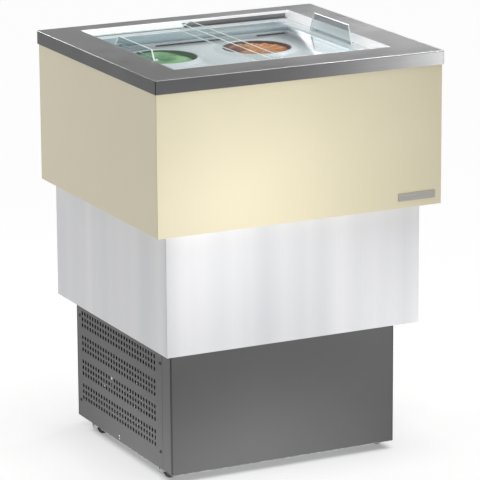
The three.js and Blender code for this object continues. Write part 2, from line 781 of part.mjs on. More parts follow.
function fanBlades() {
  const depth = 14;
  let body = disc(FAN.hub, 0, depth, 24);
  for (let index = 0; index < FAN.blades; index += 1) {
    const blade = block([FAN.hub - 4, FAN.radius], [-22, 22], [-1, 1])
      .rotate([24, 0, 0])
      .translate([0, 0, depth / 2])
      .rotate([0, 0, index * 360 / FAN.blades]);
    body = join(body, blade);
  }
  const slice = disc(FAN.radius, -8, depth + 8, 40);
  return cut(body.intersect(slice), disc(FAN.bore, -10, depth + 10, 24));
}

// The motor stands behind the blades on three arms that reach the shroud's sleeve.
function fanMotor() {
  const shaft = disc(4, -18, 2, 24);
  const housing = disc(34, 0, 46, 32);
  let body = join(housing, shaft);
  for (let index = 0; index < 3; index += 1) {
    const arm = block([30, 106], [-6, 6], [14, 17]).rotate([0, 0, 30 + index * 120]);
    const leg = block([98, 106], [-6, 6], [-26.6, 17]).rotate([0, 0, 30 + index * 120]);
    body = join(body, arm, leg);
  }
  return body;
}

function filterDrier() {
  return turned([
    [0, -62], [4, -62], [4, -50], [13, -42], [13, 42], [4, 50], [4, 62], [0, 62],
  ], 20);
}

// From the drier's top up behind the tank to the start of the evaporator coil.
function liquidPipe([x, y, z]) {
  const riserX = COIL.startX - 30;
  const riserY = coilPlan.back + 12;
  return bar([
    [x, y, z],
    [x, y, z + 30],
    [x - 10, y + 5, z + 42],
    [riserX + 10, PIPE_ENTRY.y - 4, z + 60],
    [riserX, PIPE_ENTRY.y, z + 72],
    [riserX, PIPE_ENTRY.y, PIPE_ENTRY.bend - 12],
    [riserX, PIPE_ENTRY.y + 8, PIPE_ENTRY.bend],
    [riserX, riserY - 8, PIPE_ENTRY.bend],
    [riserX, riserY, PIPE_ENTRY.bend + 12],
    [riserX, riserY, COIL.high - 26],
    [riserX + 3, riserY - 4, COIL.high - 10],
    [riserX + 12, riserY - 11, COIL.high],
    [COIL.startX - 0.8, coilPlan.back, COIL.high],
  ], 2.5);
}

// From the evaporator's outlet down to the top of the compressor.
function suctionPipe([x, y, z]) {
  const crest = z + 205;
  return bar([
    [COIL.outletX, PIPE_ENTRY.y, PIPE_ENTRY.low - 0.5],
    [COIL.outletX, PIPE_ENTRY.y, PIPE_ENTRY.low - 30],
    [COIL.outletX + 4, PIPE_ENTRY.y - 10, PIPE_ENTRY.low - 44],
    [x - 4, y + 30, crest],
    [x, y + 12, crest],
    [x, y, crest - 12],
    [x, y, z + 165.6],
  ], 5);
}

function buildMachinery() {
  add(cabinet, 'base_frame', baseFrame(), FRAME_STEEL);
  add(cabinet, 'base_tray', baseTray(), ZINC);

  const compressorSpot = [150, 60, DECK];
  add(cabinet, 'compressor', compressor(), BLACK_ENAMEL, compressorSpot);
  add(cabinet, 'condenser', condenser(), ALUMINIUM, [-230, 20, DECK + 20]);

  // The fan's own Z axis points along the air stream, to the right.
  const air = new THREE.Group();
  air.position.set(-216, 20, DECK + 125);
  air.rotation.y = Math.PI / 2;
  cabinet.add(air);
  add(air, 'fan_shroud', fanShroud(), FRAME_STEEL);
  add(air, 'fan_blades', fanBlades(), ALUMINIUM, [0, 0, 8]);
  add(air, 'fan_motor', fanMotor(), BLACK_ENAMEL, [0, 0, 29]);

  add(cabinet, 'filter_drier', filterDrier(), COPPER, [40, 200, DECK + 110]);

  add(cabinet, 'liquid_pipe', liquidPipe([40, 200, DECK + 110 + 62.4]), COPPER);
  add(cabinet, 'suction_pipe', suctionPipe(compressorSpot), COPPER);

  const wiring = block([-60, 60], [-24, 24], [0, 70]);
  add(cabinet, 'electrical_box', wiring, BLACK_PLASTIC, [-120, 240, DECK + ANGLE + 10]);
}

// ---------------------------------------------------------------- operator's controls

const FACE = DEPTH / 2 - BASE.back;   // the service panel's outer face, at +Y
const BUTTON = { radius: 5, bore: 5.5, travel: 1.5, spacing: 20, x: -10 };
const ROCKER = { x: 34, width: 20, height: 28, window: 1.2 };

// The control housing, drawn looking along -Y: own z = 0 on the service panel's face and +z outwards.
function controlHousing() {
  const flange = roundedSlab([-61, 61], [-27, 27], [0.3, 4], 5);
  const inner = { x: CONTROL.width / 2 - 1, y: CONTROL.height / 2 - 1 };
  const box = block([-inner.x, inner.x], [-inner.y, inner.y], [-28, 1]);
  const hollow = block([-inner.x + 2, inner.x - 2], [-inner.y + 2, inner.y - 2], [-29, 1]);
  const display = block([-50, -24], [-9, 9], [3, 5]);
  const rockerWindow = block(
    [ROCKER.x - ROCKER.width / 2 - ROCKER.window, ROCKER.x + ROCKER.width / 2 + ROCKER.window],
    [-ROCKER.height / 2 - ROCKER.window, ROCKER.height / 2 + ROCKER.window],
    [-1, 5],
  );
  const bores = [0, 1].map((index) => {
    const bore = disc(BUTTON.bore, -1, 5, 24);
    return bore.translate([BUTTON.x + index * BUTTON.spacing, 0, 0]);
  });
  return cut(join(flange, box), hollow, display, rockerWindow, ...bores);
}

function button() {
  return join(disc(BUTTON.radius, -2.4, 5.5, 24), disc(BUTTON.radius + 2, -2.4, 0.6, 24));
}

// A rocker with two shallow faces that meet at its middle. Its pin lies along its own X.
function rocker() {
  const half = ROCKER.height / 2;
  const outline = [[-half, 4], [0, 1.5], [half, 4], [half - 2, -8], [-half + 2, -8]];
  const across = ROCKER.width / 2;
  return plate(outline, -across, across).rotate([90, 0, 90]);
}

function gland() {
  const thread = disc(GLAND.radius, -14, 2, 24);
  const flange = disc(13, 0.3, 5, 24);
  const nose = turned([[0, 4], [10, 4], [8, 16], [0, 16]], 24);
  return cut(join(thread, flange, nose), disc(4.2, -15, 17, 20));
}

function buildControls() {
  // Own axes: x runs along -X, y up and z along +Y, outwards.
  const panel = new THREE.Group();
  panel.position.set(CONTROL.x, FACE, CONTROL.z);
  panel.rotation.set(Math.PI / 2, 0, Math.PI, 'ZXY');
  cabinet.add(panel);
  add(panel, 'controller_panel', controlHousing(), BLACK_PLASTIC);
  add(panel, 'button_up', button(), ZINC, [BUTTON.x, 0, 0]);
  add(panel, 'button_down', button(), ZINC, [BUTTON.x + BUTTON.spacing, 0, 0]);
  const onTilt = THREE.MathUtils.degToRad(8);
  add(panel, 'power_switch', rocker(), BLACK_PLASTIC, [ROCKER.x, 0, 2], [onTilt, 0, 0]);

  const inlet = new THREE.Group();
  inlet.position.set(GLAND.x, FACE, GLAND.z);
  inlet.rotation.x = -Math.PI / 2;
  cabinet.add(inlet);
  add(inlet, 'cable_gland', gland(), BLACK_PLASTIC);
}

// ---------------------------------------------------------------- casters

const AXLE = { radius: 4, play: 0.4 };

// A zinc bracket about its axle: a top plate, two legs and the axle, with a tail behind the wheel.
// Own x runs outwards, y to the operator's side, and z = 0 is the floor.
function casterBracket() {
  const legThickness = 2.5;
  const outline = [
    [-20, CASTER_TOP], [-9, WHEEL_RADIUS - 4], [-4, WHEEL_RADIUS - 8], [6, WHEEL_RADIUS - 10],
    [14, 6], [34, 6], [40, 14], [38, CASTER_TOP],
  ];
  const legPlane = WHEEL_WIDTH / 2 + 1.5;
  const leg = plate(outline, 0, legThickness).rotate([90, 0, 90]);
  const outerLeg = leg.translate([legPlane, 0, 0]);
  const innerLeg = leg.translate([-legPlane - legThickness, 0, 0]);
  const half = legPlane + legThickness;
  const topPlate = block([-half, half], [-24, 41], [CASTER_TOP - 3, CASTER_TOP]);
  const axle = disc(AXLE.radius, -half, half, 24).rotate([0, 90, 0]).translate([0, 0, WHEEL_RADIUS]);
  return join(topPlate, outerLeg, innerLeg, axle);
}

// A bored wheel with bevelled tread edges, turned about its own Z axis.
function casterWheel() {
  const half = WHEEL_WIDTH / 2;
  const bore = AXLE.radius + AXLE.play;
  return turned([
    [bore, -half], [WHEEL_RADIUS - 3, -half], [WHEEL_RADIUS, -half + 2],
    [WHEEL_RADIUS, half - 2], [WHEEL_RADIUS - 3, half], [bore, half], [bore, -half],
  ], 24);
}

function buildCasters() {
  for (const [side, facing] of [['left', -1], ['right', 1]]) {
    for (const [end, y] of Object.entries(CASTER_Y)) {
      const corner = new THREE.Group();
      corner.position.set(facing * CASTER_X, y, 0);
      cabinet.add(corner);
      add(corner, `caster_bracket_${end}_${side}`, casterBracket(), ZINC);
      const axlePlace = [0, 0, WHEEL_RADIUS];
      add(corner, `caster_wheel_${end}_${side}`, casterWheel(), WHEEL_RUBBER, axlePlace, [0, Math.PI / 2, 0]);
    }
  }
}

buildTop();
buildLids();
buildTubs();
buildTank();
buildCasing();
buildMachinery();
buildControls();
buildCasters();

export default cabinet;
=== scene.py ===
"""Ice cream dipping cabinet: fine surfaces, finishes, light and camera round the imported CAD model.

Metres, +Z up, in the CAD model's own frame: -Y faces the customers and +Y the operator.
"""

import json
import math

import bmesh
import bpy
from mathutils import Matrix, Vector, noise


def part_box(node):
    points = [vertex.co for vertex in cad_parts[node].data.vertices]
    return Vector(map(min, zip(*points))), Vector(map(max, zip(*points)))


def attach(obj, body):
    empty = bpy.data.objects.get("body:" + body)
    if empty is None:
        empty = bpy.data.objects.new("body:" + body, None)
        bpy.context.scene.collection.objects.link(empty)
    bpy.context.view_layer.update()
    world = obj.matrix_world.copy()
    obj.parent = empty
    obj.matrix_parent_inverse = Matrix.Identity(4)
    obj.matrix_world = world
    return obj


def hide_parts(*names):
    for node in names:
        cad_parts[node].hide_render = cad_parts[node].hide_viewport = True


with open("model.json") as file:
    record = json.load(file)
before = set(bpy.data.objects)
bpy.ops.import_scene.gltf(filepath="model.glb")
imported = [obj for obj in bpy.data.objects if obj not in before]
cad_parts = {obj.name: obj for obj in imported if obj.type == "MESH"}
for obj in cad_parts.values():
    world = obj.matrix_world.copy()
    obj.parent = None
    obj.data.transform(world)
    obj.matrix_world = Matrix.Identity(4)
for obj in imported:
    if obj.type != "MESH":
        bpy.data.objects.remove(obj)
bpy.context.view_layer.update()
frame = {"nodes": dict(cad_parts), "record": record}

MM = 0.001
SCENE = bpy.context.scene
RIGHT = Vector((1, 0, 0))
BACK = Vector((0, 1, 0))
UP = Vector((0, 0, 1))


# ---------------------------------------------------------------- camera

CAMERA = {
    "place": (-3.708, -7.4936, 2.7215),
    "yaw": 0.46,       # radians from +Y towards +X
    "pitch": 0.2553,   # radians below the horizon
    "roll": -0.006,
    "lens": 250.36,    # millimetres, on the sensor below
    "sensor": 36,
}


def make_camera():
    yaw, pitch, roll = CAMERA["yaw"], CAMERA["pitch"], CAMERA["roll"]
    forward = Vector((math.sin(yaw) * math.cos(pitch), math.cos(yaw) * math.cos(pitch), -math.sin(pitch)))
    level = Vector((math.cos(yaw), -math.sin(yaw), 0))
    above = level.cross(forward)
    right = math.cos(roll) * level + math.sin(roll) * above
    up = math.cos(roll) * above - math.sin(roll) * level
    data = bpy.data.cameras.new("camera")
    data.lens = CAMERA["lens"]
    data.sensor_width = CAMERA["sensor"]
    data.clip_end = 100
    camera = bpy.data.objects.new("camera", data)
    turn = Matrix((right, up, -forward)).transposed().to_4x4()
    camera.matrix_world = Matrix.Translation(CAMERA["place"]) @ turn
    SCENE.collection.objects.link(camera)
    SCENE.camera = camera


# ---------------------------------------------------------------- node trees

def linear(hex_colour, scale=1.0):
    """An sRGB colour such as "e9e0c2" as linear RGBA."""
    parts = [int(hex_colour[i:i + 2], 16) / 255 for i in (0, 2, 4)]
    curve = [p / 12.92 if p <= 0.04045 else ((p + 0.055) / 1.055) ** 2.4 for p in parts]
    return (*[min(1.0, c * scale) for c in curve], 1.0)


class Graph:
    """The node tree of a material, or of the world, with short ways to add to it."""

    def __init__(self, owner, kind="Material"):
        self.owner = owner
        owner.use_nodes = True
        self.tree = owner.node_tree
        self.tree.nodes.clear()
        self.output = self.node("Output" + kind)
        self.place = self.node("TexCoord").outputs["Object" if kind == "Material" else "Generated"]

    def node(self, kind, inputs=None, **settings):
        made = self.tree.nodes.new("ShaderNode" + kind)
        for key, value in settings.items():
            setattr(made, key, value)
        for key, value in (inputs or {}).items():
            self.put(made.inputs[key], value)
        return made

    def put(self, socket, value):
        if isinstance(value, bpy.types.NodeSocket):
            self.tree.links.new(value, socket)
        else:
            socket.default_value = value

    def math(self, operation, first, second=0.0):
        return self.node("Math", {0: first, 1: second}, operation=operation).outputs[0]

    def along(self, axis):
        """The place in the object along one axis, in metres."""
        return self.node("SeparateXYZ", {0: self.place}).outputs[axis]

    def stretched(self, x, y, z):
        """The place in the object, multiplied by a scale for each axis."""
        return self.node("VectorMath", {0: self.place, 1: (x, y, z)}, operation="MULTIPLY").outputs[0]

    def noise(self, scale, detail=2.0, roughness=0.5, place=None, distortion=0.0):
        settings = {"Scale": scale, "Detail": detail, "Roughness": roughness, "Distortion": distortion}
        return self.node("TexNoise", {"Vector": place or self.place, **settings}).outputs["Fac"]

    def cells(self, scale):
        return self.node("TexVoronoi", {"Vector": self.place, "Scale": scale}).outputs["Distance"]

    def scratches(self, length, fineness, detail, roughness):
        """Fine scratches that run along X, or along Y on faces that face X."""
        along_x = self.noise(1.0, detail, roughness, self.stretched(length, fineness, fineness))
        along_y = self.noise(1.0, detail, roughness, self.stretched(fineness, length, fineness))
        facing = self.span(self.normal_part(0), 0.6, 0.8)
        return self.node("Mix", {0: facing, 2: along_x, 3: along_y}).outputs[0]

    def span(self, value, low, high, to_low=0.0, to_high=1.0):
        """value, mapped from one range to another and held inside it."""
        inputs = {"Value": value, "From Min": low, "From Max": high, "To Min": to_low, "To Max": to_high}
        return self.node("MapRange", inputs).outputs["Result"]

    def blend(self, amount, first, second):
        """One colour going over to another."""
        made = self.node("Mix", data_type="RGBA")
        self.put(made.inputs[0], amount)
        self.put(made.inputs[6], first)
        self.put(made.inputs[7], second)
        return made.outputs[2]

    def normal_part(self, axis):
        """How far the flat of the surface faces along an axis, from 0 to 1."""
        parts = self.node("SeparateXYZ", {0: self.node("NewGeometry").outputs["True Normal"]})
        return self.math("ABSOLUTE", parts.outputs[axis])

    def bump(self, height, depth, strength=1.0):
        inputs = {"Height": height, "Distance": depth, "Strength": strength}
        return self.node("Bump", inputs).outputs["Normal"]

    def surface(self, **inputs):
        """A Principled shader, with its inputs by their names with underscores."""
        named = {key.replace("_", " "): value for key, value in inputs.items()}
        return self.node("BsdfPrincipled", named).outputs[0]

    def done(self, shader):
        self.put(self.output.inputs["Surface"], shader)
        return self.owner


def material_graph(name):
    return Graph(bpy.data.materials.new(name))


# ---------------------------------------------------------------- finishes

def brushed_steel(name, light, dark, rough, grain=1.0):
    """Steel with fine scratches and slow clouds of tone. grain is how fine the scratches are."""
    g = material_graph(name)
    scratches = g.scratches(4, 900 * grain, 3.0, 0.6)
    clouds = g.noise(5.0, 3.0)
    colour = g.blend(g.span(scratches, 0.3, 0.7), linear(dark), linear(light))
    colour = g.blend(g.span(clouds, 0.3, 0.7, 0.0, 0.25), colour, linear(dark))
    scratched = g.span(scratches, 0.25, 0.75, rough - 0.07, rough + 0.07)
    roughness = g.math("ADD", scratched, g.span(clouds, 0, 1, -0.04, 0.04))
    return g.done(g.surface(
        Base_Color=colour,
        Metallic=1.0,
        Roughness=roughness,
        Normal=g.bump(scratches, 0.00004),
    ))


def worktop_steel(name):
    """The worktop's satin steel, with painted reflections in its colour: the top is lighter towards the back
    and at the front right, and the folded rim is darker than the top and lighter towards its right end.
    """
    g = material_graph(name)
    grain = g.scratches(3, 1100, 4.0, 0.65)
    x, y = g.along(0), g.along(1)
    # painted reflection: the top's colour grows lighter towards the back and at the front right
    top = g.blend(g.span(y, -0.3, 0.33), linear("b0b0b1"), linear("d8d8d9"))
    front_right = g.math("MULTIPLY", g.span(x, 0.0, 0.38), g.span(y, -0.3, 0.33, 1.0, 0.3))
    top = g.blend(front_right, top, linear("efeff0"))
    # painted highlight: the rim's colour grows lighter towards its right end
    painted_rim_highlight = g.math("POWER", g.span(x, -0.4, 0.4), 4.0)
    rim = g.blend(painted_rim_highlight, linear("505051"), linear("bebebf"))
    # painted reflection: upright faces take the dark rim colour and level faces the light top colour
    colour = g.blend(g.span(g.normal_part(2), 0.3, 0.9), rim, top)
    colour = g.blend(g.span(grain, 0.3, 0.7, 0.0, 0.2), colour, linear("6a6a6c"))
    smudges = g.noise(7.0, 4.0, 0.6)
    roughness = g.math("ADD", g.span(grain, 0.25, 0.75, 0.27, 0.41), g.span(smudges, 0.3, 0.7, -0.04, 0.05))
    return g.done(g.surface(
        Base_Color=colour,
        Metallic=1.0,
        Roughness=roughness,
        Normal=g.bump(grain, 0.00003),
    ))


def painted(name, colour, shade, rough=0.38, coat=0.25, texture=1600, depth=0.00002):
    """Sprayed sheet metal: faint orange peel, slow drifts of tone, and a thin gloss coat."""
    g = material_graph(name)
    drift = g.noise(2.5, 2.0)
    peel = g.noise(texture, 2.0, 0.55)
    dust = g.span(g.noise(300, 3.0, 0.7), 0.62, 0.75)
    tone = g.blend(g.span(drift, 0.3, 0.7), linear(shade), linear(colour))
    tone = g.blend(g.math("MULTIPLY", dust, 0.06), tone, linear("ffffff"))
    drifting = g.span(drift, 0.3, 0.7, rough - 0.03, rough + 0.03)
    return g.done(g.surface(
        Base_Color=tone,
        Roughness=g.math("ADD", drifting, g.span(peel, 0, 1, -0.02, 0.02)),
        Coat_Weight=coat,
        Coat_Roughness=0.18,
        Normal=g.bump(peel, depth),
    ))


def drawn_white(name):
    """White lacquer over drawn sheet: broad upright streaks of painted sheen in its colour, which also vary
    its gloss, with fine upright lines in them.
    """
    g = material_graph(name)
    painted_sheen_and_gloss_bands = g.noise(1.0, 1.5, 0.5, g.stretched(9, 9, 0.25))
    lines = g.noise(1.0, 3.0, 0.6, g.stretched(500, 500, 2))
    # painted sheen: the colour lightens in broad upright streaks, which also vary the gloss
    tone = g.blend(g.span(painted_sheen_and_gloss_bands, 0.36, 0.64), linear("cfd0d3"), linear("e0e0e2"))
    tone = g.blend(g.span(lines, 0.3, 0.7, 0.0, 0.08), tone, linear("b8b9be"))
    roughness = g.span(painted_sheen_and_gloss_bands, 0.35, 0.65, 0.3, 0.42)
    return g.done(g.surface(
        Base_Color=tone,
        Metallic=0.15,
        Roughness=roughness,
        Coat_Weight=0.3,
        Coat_Roughness=0.15,
        Normal=g.bump(lines, 0.00001),
    ))


def powder_coat(name, colour, rough, speckle=1100, depth=0.00006):
    """Matt powder coating with a fine pebbled skin."""
    g = material_graph(name)
    pebbles = g.noise(speckle, 3.0, 0.6)
    drift = g.noise(4.0, 2.0)
    tone = g.blend(g.span(pebbles, 0.35, 0.65, 0.0, 0.5), linear(colour), linear(colour, 1.35))
    tone = g.blend(g.span(drift, 0.3, 0.7, 0.0, 0.3), tone, linear(colour, 0.8))
    return g.done(g.surface(
        Base_Color=tone,
        Metallic=0.1,
        Roughness=g.span(pebbles, 0.3, 0.7, rough - 0.06, rough + 0.06),
        Normal=g.bump(pebbles, depth),
    ))


def plastic(name, colour, rough, grain=900, depth=0.00003, coat=0.0, painted_glow=0.0):
    """Moulded plastic with a fine grain and flow marks. Its emission is painted light: the plastic gives off
    light of its own that brightens its shaded faces.
    """
    g = material_graph(name)
    skin = g.noise(grain, 2.0, 0.6)
    flow = g.noise(1.0, 2.0, 0.5, g.stretched(6, 30, 30), 0.6)
    tone = g.blend(g.span(flow, 0.35, 0.65, 0.0, 0.35), linear(colour), linear(colour, 0.88))
    return g.done(g.surface(
        Base_Color=tone,
        Roughness=g.span(skin, 0.3, 0.7, rough - 0.05, rough + 0.05),
        Coat_Weight=coat,
        Coat_Roughness=0.12,
        # painted light: the plastic gives off light in its own colour
        Emission_Color=linear(colour),
        Emission_Strength=painted_glow,
        Normal=g.bump(skin, depth),
    ))


def cast_metal(name, light, dark, rough, spangle=0.0):
    """Plated or drawn metal: cloudy tone, with spangles where it is hot-dip zinc."""
    g = material_graph(name)
    clouds = g.noise(60.0, 3.0, 0.6)
    tone = g.blend(g.span(clouds, 0.35, 0.65), linear(dark), linear(light))
    if spangle:
        flakes = g.cells(spangle)
        tone = g.blend(g.span(flakes, 0.2, 0.7, 0.0, 0.5), tone, linear(dark))
    fine = g.noise(1800.0, 2.0)
    return g.done(g.surface(
        Base_Color=tone,
        Metallic=1.0,
        Roughness=g.span(clouds, 0.3, 0.7, rough - 0.08, rough + 0.08),
        Normal=g.bump(fine, 0.00002),
    ))


def clear_sheet(name, tint, edge, haze, painted_reflection_strength=0.0, painted_reflection_reach=(1.0, 1.1)):
    """Clear sheet whose broad faces let light straight through and mirror a little, and whose cut edges give
    off painted light.

    The cut edges are marked by the "cut" attribute. Upright faces hardly mirror at all. Towards +X the sheet
    can be whitened by a painted reflection, and its reach argument says where that begins and where it is
    full."""
    g = material_graph(name)
    streaks = g.noise(14.0, 3.0, 0.55)
    mirror = g.node("BsdfGlossy", {"Roughness": g.span(streaks, 0.3, 0.7, 0.02, 0.06)}).outputs[0]
    veil = g.node("BsdfDiffuse", {"Color": linear("ffffff")}).outputs[0]
    through = g.node("BsdfTransparent", {"Color": linear(tint)}).outputs[0]
    fresnel = g.node("Fresnel", {"IOR": 1.5}).outputs[0]
    front = g.math("SUBTRACT", 1.0, g.node("NewGeometry").outputs["Backfacing"])
    smears = g.span(streaks, 0.3, 0.7, haze * 0.6, haze * 1.4)
    # painted reflection: a white veil that grows towards +X, standing in for the white frame mirrored in the
    # sheet
    painted_reflection_ramp = g.span(g.along(0), *painted_reflection_reach, 0.0, painted_reflection_strength)
    face = g.node("MixShader", {0: g.math("ADD", smears, painted_reflection_ramp), 1: through, 2: veil}).outputs[0]
    flatness = g.span(g.normal_part(2), 0.3, 1.0, 0.06, 0.5)
    gloss = g.math("MULTIPLY", g.math("MULTIPLY", fresnel, front), flatness)
    face = g.node("MixShader", {0: gloss, 1: face, 2: mirror}).outputs[0]
    # painted highlight: the cut edges are tinted pale and give off light, as if light were caught in them
    ripple = g.noise(220.0, 2.0, 0.5)
    cut = g.surface(
        Base_Color=g.blend(g.span(ripple, 0.3, 0.7), linear(edge), linear(edge, 0.82)),
        Roughness=0.12,
        Emission_Color=linear(edge),
        Emission_Strength=0.25,
        Alpha=0.85,
    )
    is_cut = g.node("Attribute", attribute_name="cut").outputs["Fac"]
    return g.done(g.node("MixShader", {0: is_cut, 1: face, 2: cut}).outputs[0])


def frozen(name, light, middle, deep, ice=0.35):
    """Scooped ice cream: pale crests, hollows darkened with painted shade, air bubbles and a dusting of
    frost.
    """
    g = material_graph(name)
    hollow = g.node("Attribute", attribute_name="hollow").outputs["Fac"]
    churn = g.noise(38.0, 4.0, 0.6, distortion=0.8)
    grit = g.noise(420.0, 4.0, 0.7)
    bubbles = g.cells(620.0)
    # painted shade: the tone darkens in the hollows and drifts at random with the churn
    wander = g.math("ADD", hollow, g.span(churn, 0.25, 0.75, -0.22, 0.22))
    tone = g.blend(g.span(wander, 0.0, 0.5), linear(light), linear(middle))
    tone = g.blend(g.span(wander, 0.5, 1.0), tone, linear(deep))
    frost = g.math("MULTIPLY", g.span(grit, 0.55, 0.75), ice)
    tone = g.blend(frost, tone, linear(light, 1.25))
    pits = g.math("SUBTRACT", grit, g.span(bubbles, 0.0, 0.25, 0.5, 0.0))
    return g.done(g.surface(
        Base_Color=tone,
        Roughness=g.span(grit, 0.3, 0.7, 0.42, 0.7),
        Sheen_Weight=0.15,
        Normal=g.bump(pits, 0.0006, 0.7),
    ))


def rigid_foam(name):
    g = material_graph(name)
    cells = g.cells(260.0)
    lumps = g.noise(18.0, 4.0, 0.6)
    tone = g.blend(g.span(lumps, 0.3, 0.7), linear("d8c689"), linear("efe3b4"))
    tone = g.blend(g.span(cells, 0.0, 0.4, 0.35, 0.0), tone, linear("a58f55"))
    height = g.math("ADD", cells, g.math("MULTIPLY", lumps, 3.0))
    return g.done(g.surface(Base_Color=tone, Roughness=0.92, Normal=g.bump(height, 0.0008)))


def tyre(name):
    g = material_graph(name)
    grain = g.noise(900.0, 3.0, 0.6)
    dust = g.noise(45.0, 4.0, 0.65)
    tone = g.blend(g.span(dust, 0.45, 0.75, 0.0, 0.5), linear("1b1b1c"), linear("4a4846"))
    return g.done(g.surface(
        Base_Color=tone,
        Roughness=g.span(dust, 0.3, 0.7, 0.55, 0.8),
        Normal=g.bump(grain, 0.0001),
    ))


def make_finishes():
    """One material for each material slot of the record."""
    return {
        "stainless": worktop_steel("stainless"),
        # the white plastic gives off painted light, so that its shaded walls look lit
        "white_plastic": plastic("white_plastic", "f4f5f7", 0.32, coat=0.3, painted_glow=0.38),
        "channel_metal": brushed_steel("channel_metal", "b4b4b7", "8a8a8d", 0.42),
        # the lid glass is whitened at its right end by a painted reflection
        "lid_glass": clear_sheet("lid_glass", "fafcfc", "f0fbf8", 0.01, 0.4, (0.245, 0.285)),
        "clear_acrylic": clear_sheet("clear_acrylic", "e6eaeb", "f4fcfa", 0.01),
        "plate_plastic": plastic("plate_plastic", "e0e3e6", 0.36, coat=0.2),
        "liner_steel": brushed_steel("liner_steel", "f2fdff", "d8eaf2", 0.6, 0.5),
        "copper": cast_metal("copper", "d08a5c", "8a4f30", 0.3),
        "insulation": rigid_foam("insulation"),
        "cream_paint": painted("cream_paint", "dcd3b6", "d7ceaf"),
        "badge_metal": brushed_steel("badge_metal", "b9b7b0", "8b8982", 0.3, 1.4),
        "white_paint": drawn_white("white_paint"),
        "grey_paint": powder_coat("grey_paint", "4d4d4d", 0.42),
        "frame_paint": powder_coat("frame_paint", "343436", 0.55),
        "zinc": cast_metal("zinc", "d3d5d8", "9a9da1", 0.28, 90.0),
        "black_enamel": painted("black_enamel", "1b1b1d", "121213", 0.3, 0.6, 900, 0.00005),
        "fin_aluminium": cast_metal("fin_aluminium", "c6c8ca", "8e9194", 0.34),
        "black_plastic": plastic("black_plastic", "232325", 0.5, 700, 0.00008),
        "button_metal": cast_metal("button_metal", "c9cbce", "9b9da1", 0.25),
        "tub_plastic": plastic("tub_plastic", "e9e6de", 0.34, coat=0.2),
        # the third colour of each flavour is the painted shade in its hollows
        "pistachio": frozen("pistachio", "7cb674", "508f50", "2f6a34", 0.2),
        "caramel": frozen("caramel", "f2ad50", "c87424", "5e240a", 0.12),
        "strawberry": frozen("strawberry", "f0bcc0", "dc8f97", "a84e5c"),
        "vanilla": frozen("vanilla", "f6ebc6", "e6d093", "b39550"),
        "wheel_rubber": tyre("wheel_rubber"),
    }


# ---------------------------------------------------------------- mesh building

ROUND = 72                   # sides of a round surface that is seen from close by
SMALL_ROUND = 28
SMOOTH_BELOW = math.radians(34)


def aimed(point, axis, spin=0.0):
    """The place of a piece drawn about +Z, moved to point and turned to look along axis."""
    turn = Vector(axis).to_track_quat("Z", "Y").to_matrix().to_4x4()
    return Matrix.Translation(point) @ turn @ Matrix.Rotation(spin, 4, "Z")


def middle_of(node):
    low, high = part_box(node)
    return (low + high) / 2


def turns(count):
    """Angles spread evenly round a circle."""
    return [2 * math.pi * k / count for k in range(count)]


def polygon(corners, radius):
    return [(radius * math.cos(a), radius * math.sin(a)) for a in turns(corners)]


def in_mm(pairs):
    return [(first * MM, second * MM) for first, second in pairs]


def rounded(points, radius, steps=5, closed=False):
    """A polyline with each corner turned into a short curve."""
    points = [Vector(p) for p in points]
    count = len(points)
    curved = []
    for index, corner in enumerate(points):
        if not closed and index in (0, count - 1):
            curved.append(corner)
            continue
        before = points[index - 1] - corner
        after = points[(index + 1) % count] - corner
        start = corner + before.normalized() * min(radius, before.length * 0.49)
        end = corner + after.normalized() * min(radius, after.length * 0.49)
        for step in range(steps + 1):
            t = step / steps
            curved.append(start * (1 - t) ** 2 + corner * 2 * t * (1 - t) + end * t ** 2)
    return curved


def rounded_profile(points, radius, steps=5, closed=False):
    """The same for points on a plane, as pairs."""
    return [(p.x, p.y) for p in rounded(points, radius, steps, closed)]


def bridge(bm, rings, wrap=True):
    """Faces between each ring of vertices and the next. A ring of one vertex is a point."""
    for low, high in zip(rings, rings[1:]):
        count = max(len(low), len(high))
        for k in range(count if wrap else count - 1):
            following = (k + 1) % count
            corners = ((low, k), (low, following), (high, following), (high, k))
            distinct = list(dict.fromkeys(ring[at % len(ring)] for ring, at in corners))
            if len(distinct) > 2:
                bm.faces.new(distinct)


def lathe(bm, profile, sides=ROUND, place=Matrix()):
    """A turned surface about Z from [radius, height] points."""
    rings = []
    for radius, height in profile:
        if radius < 1e-7:
            rings.append([bm.verts.new(place @ Vector((0, 0, height)))])
            continue
        rings.append([bm.verts.new(place @ Vector((x, y, height))) for x, y in polygon(sides, radius)])
    bridge(bm, rings)
    return bm


def tube(bm, points, radius, sides=14):
    """A round bar with closed ends along a line of points."""
    points = [Vector(p) for p in points]
    side = None
    rings = []
    for index, point in enumerate(points):
        ahead = points[min(index + 1, len(points) - 1)] - points[max(index - 1, 0)]
        ahead.normalize()
        if side is None:
            side = ahead.orthogonal().normalized()
        side = (side - ahead * side.dot(ahead)).normalized()
        other = ahead.cross(side)
        rings.append([
            bm.verts.new(point + radius * (math.cos(a) * side + math.sin(a) * other))
            for a in turns(sides)
        ])
    bridge(bm, rings)
    bm.faces.new(rings[0][::-1])
    bm.faces.new(rings[-1])
    return bm


def block(bm, low, high, place=Matrix()):
    corners = {
        (i, j, k): bm.verts.new(place @ Vector(((low, high)[i][0], (low, high)[j][1], (low, high)[k][2])))
        for i in (0, 1) for j in (0, 1) for k in (0, 1)
    }
    square = ((0, 0), (1, 0), (1, 1), (0, 1))
    for end in (0, 1):
        bm.faces.new([corners[end, a, b] for a, b in square])
        bm.faces.new([corners[a, end, b] for a, b in square])
        bm.faces.new([corners[a, b, end] for a, b in square])
    return bm


